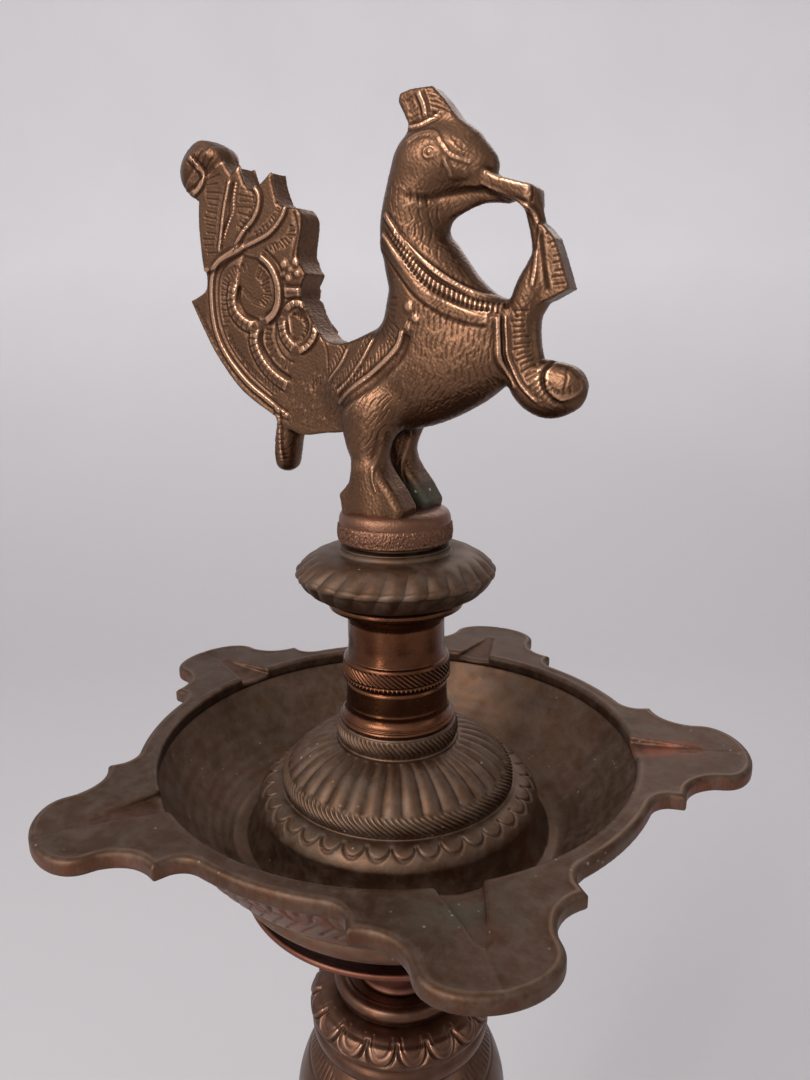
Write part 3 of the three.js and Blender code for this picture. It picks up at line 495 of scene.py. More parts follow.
def oil_bowl():
    top, base, floor = 9.0, -8.5, -35.0
    dome = [
        [BORE, top], [21, top], *bow([21.4, 8.8], [21.9, 8.4], 0.2, 3), *bow([22, 8.2], [22, 2.2], -1.0, 12),
        *bow([21.8, 1.8], [22.6, 1.2], 0.2, 3), *bow([23, 1.4], [41.2, base], -1.9, 34),
        *bow([41.4, base - 0.4], [43.6, base - 6.8], -1.3, 16),
        *bow([43.8, base - 7.2], [53.2, -21], -1.9, 18),
        *bow([53.4, -21.6], [58, floor], 1.6, 16),
    ]
    wall = [
        *bow([60, floor], [64, floor + 1.2], 0.4, 5), *bow([64.4, floor + 1.5], [88.2, -5.2], 2, 30),
        [88.2, -3.8], [92, -3.8],
        *bow([90.5, -6.6], [66, floor - 4], -2.4, 26),
        *bow([65.4, floor - 4.6], [64.4, -46], -1.2, 10), *bow([64, -46.4], [57, -50.5], -0.9, 8),
        [52, -50.4], [50, -43], [43, -24], [24, -5], [11.5, -4.4], [11.5, -53], [BORE, -53],
    ]

    def relief(r, z, th, nr, nz):
        up = nz > -0.25
        dome_zone = up * span(r, 23.6, 41.2, 0.7) * (z > -10)
        swell = unit((r - 23) / 5) ** 0.5
        d = dome_zone * swell * wave(DOME_FLUTES * th, 0.95)
        d += (nr > 0.4) * span(r, 20.6, 24.6, 0.3) * span(z, 2.4, 7.8, 0.7) * rope(th, z, 73, 0.035, 0.75)
        band = up * span(z, base - 6.4, base - 0.6, 0.7) * span(r, 41, 46, 0.3)
        d += band * rope(th, z, 120, 0.03, 0.7)
        shoulder = up * span(z, -22, -15, 0.2) * (r > 44) * (r < 54.6)
        along = r - 47
        d += shoulder * arcs(th, along, r, DOME_FLUTES, 0.6, 3.7, 0.34, 0.75)
        under = (nz < 0.2) * (r > 64) * (z > -40)
        d += under * strokes(th, -z, 120, 9, 14, 0.16, 0.6, 0.0, 0.2)
        d += under * strokes(th, -z, 96, 17, 27, 0.12, 0.6, 0.16, 0.25)
        d += under * arcs(th, -z, r, 40, 14, 4.0, 0.4, 0.5)
        d += under * ring(z + 15.4, 0.4, 0.5)
        hammered = (nz > 0.1) * span(r, 58, 87, 1.0) * (z < -6)
        return d + hammered * 0.03 * np.sin(r * 1.9 + 2 * np.sin(3 * th))

    def worn(r, z, th, nr, nz):
        return 0.55 * (nz < 0.2) * (r > 56) * (z < -4) * (1 + 0 * th)

    dress("oil_bowl", (dome + wall)[::-1], 1080, DUSTY, relief, 0.8, RIM_HEIGHT, worn)


def neck_spool():
    top = 47.5
    outer = [
        [BORE, 0], [21, 0], *bow([21.4, 0.4], [21.2, 1.6], 0.3, 4), [20.7, 1.9], [20.6, 2.1],
        *bow([20.8, 2.4], [19, 6.6], -0.8, 10), [18.8, 7.4], [18.6, 14.6], [18.2, 15.2], [18.2, 15.8],
        *bow([18.6, 16.2], [19.3, 17], -0.1, 5), *bow([19.5, 17.4], [19.5, 24], 0.35, 12),
        *bow([19.3, 24.4], [18.2, 25.2], 0.1, 5), *bow([18.2, 25.6], [17.7, 31], -0.15, 8), [17.7, top - 9],
        *bow([17.8, top - 8.6], [24.4, top - 3.1], -1.7, 14), *bead(23.3, top - 1.7, 1.6, -50, 80, 8),
        [22, top], [BORE, top],
    ]

    def relief(r, z, th, nr, nz):
        out = nr > 0.2
        d = out * span(z, 18.8, 23.4, 0.6) * rope(th, z, 58, 0.06, 0.55)
        d += out * span(z, 16.6, 17.8, 0.5) * 0.5 * unit(np.cos(76 * th))
        return d + out * ring(z - 18.3, 0.3, 0.35)

    dress("neck_spool", outer, 540, COPPER, relief, 0.5)


def gadrooned_knob():
    top, widest = 20.3, 9.2
    outer = [
        [BORE, 0], [24, 0], *bow([24.6, 0.3], [35.4, 7.8], 1.9, 28), *bead(34.1, 9.0, 2.0, -32, 60, 10),
        *bow([34.9, 10.9], [21.4, 16.4], 1.7, 26), *bow([21, 16.5], [20.1, 16.7], -0.3, 3),
        *bow([19.8, 16.9], [19.8, 18.7], -0.2, 5), [16.6, 19], [16.5, top], [BORE, top],
    ]

    def relief(r, z, th, nr, nz):
        above = z > widest
        out = np.where(above, (r - 22) / 14.3, 1 + (widest - z) / widest)
        fade = np.where(above, unit((r - 27.5) / 7) ** 1.2, unit((z - 1) / 8))
        fade = fade * (1 - 0.45 * unit((r - 32) / 4))
        d = (r > 22) * fade * 1.35 * wave(KNOB_FLUTES * (th + 0.14 * out))
        return d + (r > 24) * 0.12 * np.sin(5 * th + 1.3) * np.sin(z * 0.4)

    dress("gadrooned_knob", outer, 1080, DUSTY, relief, 0.5)


foot()
lower_column()
middle_knop()
upper_column()
drip_dish()
oil_bowl()
neck_spool()
gadrooned_knob()


# Soft forms

def smooth_min(a, b, k):
    """The lesser of two distances, rounded over k where they meet."""
    h = unit(0.5 + 0.5 * (b - a) / k)
    return b * (1 - h) + a * h - k * h * (1 - h)


def spline(points, steps):
    """A smooth line through rows of values."""
    p = np.array(points, float)
    p = np.vstack([p[:1], p, p[-1:]])
    t = np.linspace(0, 1, steps, endpoint=False)[:, None]
    out = []
    for a, b, c, d in zip(p, p[1:], p[2:], p[3:]):
        v0, v1 = (c - a) / 2, (d - b) / 2
        out.append((2 * b - 2 * c + v0 + v1) * t ** 3 + (3 * c - 3 * b - 2 * v0 - v1) * t ** 2 + v0 * t + b)
    return np.vstack(out + [p[-1:]])


def outline_distance(polygon, x, z):
    """Distance to a closed polygon on a grid, negative inside."""
    best = np.full(np.broadcast(x, z).shape, 1e9)
    inside = np.zeros(best.shape, bool)
    for (ax, az), (bx, bz) in zip(polygon, np.roll(polygon, -1, 0)):
        dx, dz = bx - ax, bz - az
        t = unit(((x - ax) * dx + (z - az) * dz) / (dx * dx + dz * dz + 1e-12))
        best = np.minimum(best, (x - ax - t * dx) ** 2 + (z - az - t * dz) ** 2)
        crosses = (az > z) != (bz > z)
        inside ^= crosses & (x < ax + (z - az) * dx / (dz if abs(dz) > 1e-12 else 1e-12))
    best = np.sqrt(best)
    return np.where(inside, -best, best)


def rounded(u, v, edge):
    """Distance to a plate with a round edge, from the distances to its outline and to its faces."""
    u, v = u + edge, v + edge
    return np.hypot(np.maximum(u, 0), np.maximum(v, 0)) + np.minimum(np.maximum(u, v), 0) - edge


def read_grid(field, places):
    """Values of a field read between its corners, from an array of places for each of its axes."""
    first = [np.clip(np.floor(p).astype(int), 0, n - 2) for p, n in zip(places, field.shape)]
    rest = [unit(p - i) for p, i in zip(places, first)]
    value = 0
    for corner in np.ndindex(*[2] * field.ndim):
        share = field[tuple(i + c for i, c in zip(first, corner))]
        for c, t in zip(corner, rest):
            share = share * np.abs(1 - c - t)
        value = value + share
    return value


class Clay:
    """Distances to a surface on a regular grid, for forms that run into each other."""

    def __init__(self, low, high, cell):
        self.low, self.cell = np.array(low, float), cell
        self.axes = [np.arange(a, b + cell, cell) for a, b in zip(low, high)]
        self.field = np.full([len(a) for a in self.axes], 9.0, np.float32)

    def window(self, low, high):
        """The part of the grid between two corners, and its axes."""
        cut = []
        for a, b, start, axis in zip(low, high, self.low, self.axes):
            first = min(max(0, int((a - start) / self.cell)), len(axis) - 1)
            cut.append(slice(first, max(first + 1, int((b - start) / self.cell) + 2)))
        x, y, z = (axis[part] for axis, part in zip(self.axes, cut))
        return tuple(cut), x[:, None, None], y[None, :, None], z[None, None, :]

    def limb(self, stations, side=0.0, blend=2.4):
        """A flattened round bar along stations of (x, z, half width, half thickness)."""
        path = spline(stations, 7)
        walked = np.append(0, np.cumsum(np.hypot(*np.diff(path[:, :2], axis=0).T)))
        keep = (walked > path[:, 2] * 0.85) & (walked[-1] - walked > path[:, 2] * 0.85)
        path = path[keep]
        grow = path[:, 2].max() + 5
        low = (path[:, 0].min() - grow, side - path[:, 3].max() - 5, path[:, 1].min() - grow)
        high = (path[:, 0].max() + grow, side + path[:, 3].max() + 5, path[:, 1].max() + grow)
        cut, x, y, z = self.window(low, high)
        form = np.full(self.field[cut].shape, 9.0, np.float32)
        for a, b in zip(path, path[1:]):
            reach = max(a[2], b[2]) + 4
            ix = (x[:, 0, 0] > min(a[0], b[0]) - reach) & (x[:, 0, 0] < max(a[0], b[0]) + reach)
            iz = (z[0, 0] > min(a[1], b[1]) - reach) & (z[0, 0] < max(a[1], b[1]) + reach)
            if not ix.any() or not iz.any():
                continue
            sx = slice(ix.argmax(), len(ix) - ix[::-1].argmax())
            sz = slice(iz.argmax(), len(iz) - iz[::-1].argmax())
            px, pz = x[sx, 0, :], z[0, :, sz]
            dx, dz = b[0] - a[0], b[1] - a[1]
            t = unit(((px - a[0]) * dx + (pz - a[1]) * dz) / (dx * dx + dz * dz + 1e-9))
            across = np.hypot(px - a[0] - t * dx, pz - a[1] - t * dz)[:, None, :]
            wide = (a[2] + (b[2] - a[2]) * t)[:, None, :]
            thick = (a[3] + (b[3] - a[3]) * t)[:, None, :]
            q = np.sqrt((across / wide) ** 2 + ((y - side) / thick) ** 2)
            form[sx, :, sz] = np.minimum(form[sx, :, sz], (q - 1) * np.minimum(wide, thick))
        self.field[cut] = smooth_min(self.field[cut], form, blend)

    def plate(self, polygon, low, high, edge, blend=2.0, taper=None):
        """A plate between two values of y, from an outline in the x-z plane.

        taper is two heights and how much thinner the plate gets between them, all of it at the back."""
        polygon, reach = np.array(polygon), 6.0
        a, b = polygon.min(0) - reach, polygon.max(0) + reach
        cut, x, y, z = self.window((a[0], low - reach, a[1]), (b[0], high + reach, b[1]))
        flat = outline_distance(polygon, x[:, :, 0], z[0])[:, None, :]
        if taper:
            share = unit((z - taper[0]) / (taper[1] - taper[0]))
            high = high - taper[2] * share * share * (3 - 2 * share)
        form = rounded(flat, np.abs(y - (low + high) / 2) - (high - low) / 2, edge)
        self.field[cut] = smooth_min(self.field[cut], form.astype(np.float32), blend)

    def sample(self, points):
        """Values of the field at points."""
        return read_grid(self.field, ((points - self.low) / self.cell).T)

    def normals(self, points):
        """The directions away from the surface at points."""
        step = self.cell * 1.2
        sides = [(self.sample(points + step * e), self.sample(points - step * e)) for e in np.eye(3)]
        grad = np.stack([ahead - behind for ahead, behind in sides], 1)
        return grad / np.maximum(np.linalg.norm(grad, axis=1), 1e-9)[:, None]

    def skin(self):
        """A closed mesh of four-sided faces on the surface."""
        f = self.field
        inside = f < 0
        count = sum(inside[a:len(f) - 1 + a, b:f.shape[1] - 1 + b, c:f.shape[2] - 1 + c].astype(np.int8)
                    for a in (0, 1) for b in (0, 1) for c in (0, 1))
        active = (count > 0) & (count < 8)
        number = np.full(active.shape, -1, np.int32)
        number[active] = np.arange(active.sum())
        cells = np.argwhere(active)
        total, hits = np.zeros(cells.shape), np.zeros(len(cells))
        for axis in range(3):
            for p in (0, 1):
                for q in (0, 1):
                    a = np.insert([p, q], axis, 0)
                    b = np.insert([p, q], axis, 1)
                    fa, fb = f[tuple((cells + a).T)], f[tuple((cells + b).T)]
                    crossed = (fa < 0) != (fb < 0)
                    t = np.where(crossed, fa / np.where(fa == fb, 1, fa - fb), 0)
                    total += crossed[:, None] * (a + t[:, None] * (b - a))
                    hits += crossed
        verts = self.low + self.cell * (cells + total / hits[:, None])
        faces = []
        for axis in range(3):
            first = [slice(None)] * 3
            second = [slice(None)] * 3
            first[axis], second[axis] = slice(0, -1), slice(1, None)
            a, b = inside[tuple(first)], inside[tuple(second)]
            where = np.argwhere(a != b)
            u, v = (axis + 1) % 3, (axis + 2) % 3
            where = where[(where[:, u] > 0) & (where[:, v] > 0)]
            where = where[(where[:, u] < active.shape[u]) & (where[:, v] < active.shape[v])]
            quad = []
            for du, dv in ((1, 1), (0, 1), (0, 0), (1, 0)):
                cell = where.copy()
                cell[:, u] -= du
                cell[:, v] -= dv
                quad.append(number[tuple(cell.T)])
            quad = np.stack(quad, 1)
            out = a[tuple(where.T)]
            faces.append(np.where(out[:, None], quad, quad[:, ::-1]))
        return verts, np.vstack(faces)


def split(verts, faces):
    """Each four-sided face cut into four."""
    a, b = faces, np.roll(faces, -1, 1)
    key = np.minimum(a, b).astype(np.int64) * len(verts) + np.maximum(a, b)
    unique, place = np.unique(key, return_inverse=True)
    place = place.reshape(key.shape)
    middles = (verts[unique // len(verts)] + verts[unique % len(verts)]) / 2
    centres = verts[faces].mean(1)
    m = len(verts) + place
    c = len(verts) + len(unique) + np.arange(len(faces))
    parts = [np.stack([faces[:, i], m[:, i], c, m[:, i - 1]], 1) for i in range(4)]
    return np.vstack([verts, middles, centres]), np.vstack(parts)


class Carving:
    """Chased lines as a height field over the x-z plane, in millimetres."""

    def __init__(self, low, high, cell=0.2):
        self.low, self.cell = low, cell
        self.x = np.arange(low[0], high[0], cell)[:, None]
        self.z = np.arange(low[1], high[1], cell)[None, :]
        self.height = np.zeros((len(self.x), self.z.shape[1]))
        self.rng = np.random.default_rng(11)

    def window(self, low, high):
        """The part of the grid between two corners."""
        first = [max(0, int((low[axis] - self.low[axis]) / self.cell)) for axis in (0, 1)]
        last = [int((high[axis] - self.low[axis]) / self.cell) + 1 for axis in (0, 1)]
        return slice(first[0], last[0]), slice(first[1], last[1])

    def near(self, points, reach):
        """Along and sideways distance (left is positive) from a smooth line, for the grid near it."""
        line = spline(points, 8)
        i, k = self.window(line.min(0) - reach, line.max(0) + reach)
        x, z = self.x[i], self.z[:, k]
        best = np.full(np.broadcast(x, z).shape, 1e6)
        along, side = np.zeros(best.shape), np.zeros(best.shape)
        walked = 0.0
        for a, b in zip(line, line[1:]):
            d = b - a
            length = np.hypot(*d) + 1e-9
            t = unit(((x - a[0]) * d[0] + (z - a[1]) * d[1]) / length ** 2)
            ex, ez = x - a[0] - t * d[0], z - a[1] - t * d[1]
            r = np.hypot(ex, ez)
            nearer = r < best
            best = np.where(nearer, r, best)
            along = np.where(nearer, walked + t * length, along)
            side = np.where(nearer, r * np.where(d[0] * ez - d[1] * ex >= 0, 1, -1), side)
            walked += length
        return (i, k), along, side, walked

    def ridge(self, points, width, height, cuts=0.0, depth=0.35, lean=0.0):
        """A round raised band; cuts is the pitch of nicks across it."""
        cut, s, d, length = self.near(points, width + 1.5)
        end = np.minimum(s, length - s)
        flank = unit((width - np.abs(d)) / (0.25 + 0.3 * width))
        slope = 0.72 + 0.28 * np.clip(d / width, -1, 1)
        form = height * slope * flank * (2 - flank) * unit((end + 0.3) / 1.5)
        if cuts:
            phase = ((s + lean * d) / cuts) % 1.0 - 0.5
            form = form - depth * hump(phase * cuts, 0.28) * (np.abs(d) < width * 0.95)
        self.height[cut] += form
        trench = -0.45 * hump(np.abs(d) - width - 0.45, 0.5) * unit(end / 1.5)
        self.height[cut] += trench * min(1.0, height)

    def groove(self, points, width, depth):
        """A round groove that runs out at both ends."""
        cut, s, d, length = self.near(points, width * 3)
        end = unit(np.minimum(s, length - s) + 0.3)
        self.height[cut] -= depth * hump(d, width) * end

    def hatch(self, points, low, high, pitch, depth, width=0.38, lean=0.0):
        """Strokes across a line, from low to high at its side, with ragged ends."""
        cut, s, d, length = self.near(points, max(abs(low), abs(high)) + 2)
        phase = (s + lean * d) / pitch
        sets = 97  # of random shifts, which serve the strokes in turn
        shake = self.rng.uniform(-1, 1, (sets, 3))[np.floor(phase).astype(int) % sets]
        u = (phase % 1.0 - 0.5 + 0.18 * shake[..., 0]) * pitch
        reach = (high - low) * 0.25
        a, b = low + reach * np.abs(shake[..., 1]), high - reach * np.abs(shake[..., 2])
        inside = unit((d - a) / 0.35) * unit((b - d) / 0.35)
        inside = inside * ((s > 0.05) & (s < length - 0.05))
        stroke = 0.25 * np.cos(TAU * u / pitch) - hump(u, width)
        self.height[cut] += inside * 1.35 * depth * stroke

    def area(self, polygon):
        """Distance to an outline, negative inside, for the grid near it."""
        polygon = np.array(polygon, float)
        i, k = self.window(polygon.min(0) - 3, polygon.max(0) + 3)
        return (i, k), outline_distance(polygon, self.x[i], self.z[:, k])

    def pad(self, polygon, height, soft=1.2):
        """A rounded area raised or sunk, with soft edges."""
        line = spline(list(polygon) + [polygon[0]], 4)[:-1]
        cut, d = self.area(line)
        self.height[cut] += height * unit(0.5 - d / soft)

    def dot(self, x, z, radius, height):
        """A small round pad."""
        around = np.linspace(0, TAU, 9)[:-1]
        self.pad(list(zip(x + radius * np.cos(around), z + radius * np.sin(around))), height, radius)

    def dashes(self, polygon, angle, across, along, depth, width=0.3, bump=0.2):
        """Short strokes in staggered rows over an area."""
        cut, d = self.area(polygon)
        x, z = self.x[cut[0]], self.z[:, cut[1]]
        a = math.radians(angle)
        sway_x = x + 0.35 * np.sin(0.7 * z + 0.3 * x)
        sway_z = z + 0.35 * np.sin(0.6 * x - 0.2 * z)
        u = sway_x * math.cos(a) + sway_z * math.sin(a)
        v = -sway_x * math.sin(a) + sway_z * math.cos(a)
        row = np.floor(v / across)
        shift = np.sin(row * 12.9898) * 43758.5453 % 1.0  # uneven from row to row
        start = u / along + shift
        bend = np.sin(row * 7.1 + np.floor(start) * 3.7)
        phase = (v / across + 0.12 * bend) % 1.0 - 0.5
        length = np.abs((start % 1.0) - 0.5)
        stroke = hump(phase * across, width) * unit((0.44 - length) * 8)
        form = bump * np.cos(phase * TAU) * 0.5 - 0.6 * depth * stroke
        self.height[cut] += form * unit(0.5 - d / 0.8)

    def read(self, field, x, z):
        """Values at x and z of a field on this grid."""
        return read_grid(field, [(x - self.low[0]) / self.cell, (z - self.low[1]) / self.cell])


def blurred(field, cells):
    """A square moving average."""
    for axis in (0, 1):
        before = np.repeat(np.take(field, [0], axis), cells, axis)
        after = np.repeat(np.take(field, [-1], axis), cells + 1, axis)
        total = np.cumsum(np.concatenate([before, field, after], axis), axis)
        place = np.arange(field.shape[axis])
        field = (np.take(total, place + 2 * cells, axis) - np.take(total, place, axis)) / (2 * cells)
    return field


# Bird finial

# The bird's heights count from BIRD, which lies PEDESTAL_LOW under its seat
PEDESTAL_LOW = 77.6
BIRD = SEAT["bird_finial"] - PEDESTAL_LOW
SOLE = 86.5  # the legs end flat here, inside the pedestal
CARVING = 0.55  # share of the drawn depth that the chased lines really have


def tail_outline():
    """The tail plate's edge in the bird's plane, one smooth run after another."""
    runs = [
        [(-8, 122), (-16, 115.5), (-26, 114), (-38, 113), (-48, 118.5)],
        [(-48, 118.5), (-64, 127.5), (-75.5, 139.5), (-82, 149.5), (-88.4, 161)],
        [(-88.4, 161), (-81, 164), (-79.2, 168), (-80, 178), (-80.4, 188), (-79.6, 196)],
        [(-79.6, 196), (-87, 201), (-89, 207), (-85, 213), (-78.6, 216.2), (-71.8, 212.8), (-63.4, 202.8)],
        [(-60, 205.4), (-58.2, 200.6), (-55.4, 197.6), (-50.6, 198.8), (-45.4, 202.2)],
        [(-44.8, 198), (-43, 192.4), (-39.4, 190.6), (-34.6, 190)],
        [(-34.6, 190), (-32.8, 186), (-35.4, 175), (-32, 168.3)],
        [(-32, 168.3), (-34.8, 162), (-30.8, 154), (-25, 146.6), (-17, 145), (-6, 147)],
        [(0, 132)],
    ]
    line = np.vstack([spline(run, 5) if len(run) > 2 else run for run in runs])
    return line[np.append(True, np.hypot(*np.diff(line, axis=0).T) > 0.2)]


def bird_clay():
    """The bird without its carving. A limb's stations are x, height, half width and half thickness."""
    clay = Clay((-92.5, -19, 82), (71.5, 19, 223), 0.5)
    clay.plate(tail_outline(), -6, 6, 0.8, taper=(178, 200, 4))
    body = [(-24, 128, 9, 6), (-10, 131, 14, 10), (8, 135.6, 18.6, 13), (24, 140.6, 17.4, 12),
            (37, 142, 11, 9), (46, 143, 8, 6)]
    clay.limb(body, blend=4)
    neck = [(14, 136, 16, 12), (15, 151, 16.6, 12), (14.4, 162, 14, 11.4), (10.6, 172, 12, 10.5),
            (8.6, 181, 11.4, 10), (9.6, 190, 10.4, 9.6), (13, 198, 11, 9), (17, 206, 9, 8)]
    clay.limb(neck, blend=3)
    breast = [(12, 176, 8, 8), (20, 166.4, 8, 8), (28, 157.8, 8, 8), (36, 152, 8, 8), (46, 150, 7, 6.5)]
    clay.limb(breast, blend=3)
    clay.limb([(7, 178, 4, 9), (-1.4, 174, 3.6, 6)], blend=1.6)
    head = [(4.6, 198, 6, 6), (12.6, 199.8, 10, 9), (21.6, 200, 10.4, 9), (29.4, 198, 7.2, 7),
            (36.8, 193.6, 3.6, 4.6)]
    clay.limb(head)
    clay.limb([(14, 184.6, 6, 6), (24, 188, 4.6, 3), (34, 189.4, 3.2, 2.6), (44, 187.6, 2.4, 2.8)], blend=4)
    beak = [(28, 191.4), (35, 190), (43.6, 186.6), (49.6, 183.2), (51.6, 184.4), (51.6, 188.6), (49.8, 190),
            (40, 192.6), (31, 197)]
    clay.plate(beak, -4, 4, 0.8, blend=1.2)
    crest = [(10, 205), (8.4, 211.4), (5.0, 217.6), (5.6, 219.9), (9.6, 220.6), (17, 220.4), (21, 216.4),
             (26, 210), (31, 205.4), (20, 203)]
    clay.plate(crest, -4, 4, 1.2, blend=2.5)
    vine = [(48.8, 188, 2.4, 3.4), (50.4, 182, 2.6, 2.8), (51.8, 177, 2.6, 3), (53.2, 171, 3.2, 3.8),
            (53, 166, 5, 4.6), (50.6, 160, 6, 5.4), (48, 153, 5.2, 6), (48.2, 143, 5.4, 6), (50, 134.5, 7, 6),
            (56, 131.4, 8.8, 6), (62, 131.6, 7.2, 5.6), (67.6, 132.4, 4.4, 4.4)]
    clay.limb(vine)
    leaf = [(52.8, 179), (54.6, 178.4), (58, 174.6), (60.2, 169), (63.2, 160.4), (57, 157.4), (53.4, 156.6)]
    clay.plate(leaf, -4, 3.4, 0.5, blend=1.2)
    spur = [(-42, 128, 7, 5), (-46.6, 112, 5, 6), (-47.8, 104, 4.4, 6), (-48, 98.2, 3, 4.4)]
    clay.limb(spur)
    curl = [(-67.5, 207.4, 4, 6), (-75.8, 211, 4.6, 7.2), (-83.2, 207.4, 5.4, 7.4), (-84, 200, 3.2, 5)]
    clay.limb(curl, -1.5)
    leg = [(0, 132, 12, 7), (-3.4, 122, 11, 7.5), (-4.6, 114, 8.6, 6.8), (-4, 107.5, 6.6, 6),
           (-3.4, 101, 6, 5.8), (-3, 92, 6.2, 5.8), (-3, 80, 6.2, 5.8)]
    foot_edge = [(-7.6, 105), (-9.8, 99), (-14.4, 94.4), (-13.8, 91.6), (-13, 84), (10.6, 84), (12, 91),
                 (8.2, 97), (3, 103), (0, 106)]
    for side in (-9, 9):
        clay.limb(leg, side, 4)
        clay.plate(foot_edge, side - 6, side + 6, 2.6, blend=4)
    clay.field = np.maximum(clay.field, (SOLE - clay.axes[2])[None, None, :].astype(np.float32))
    return clay


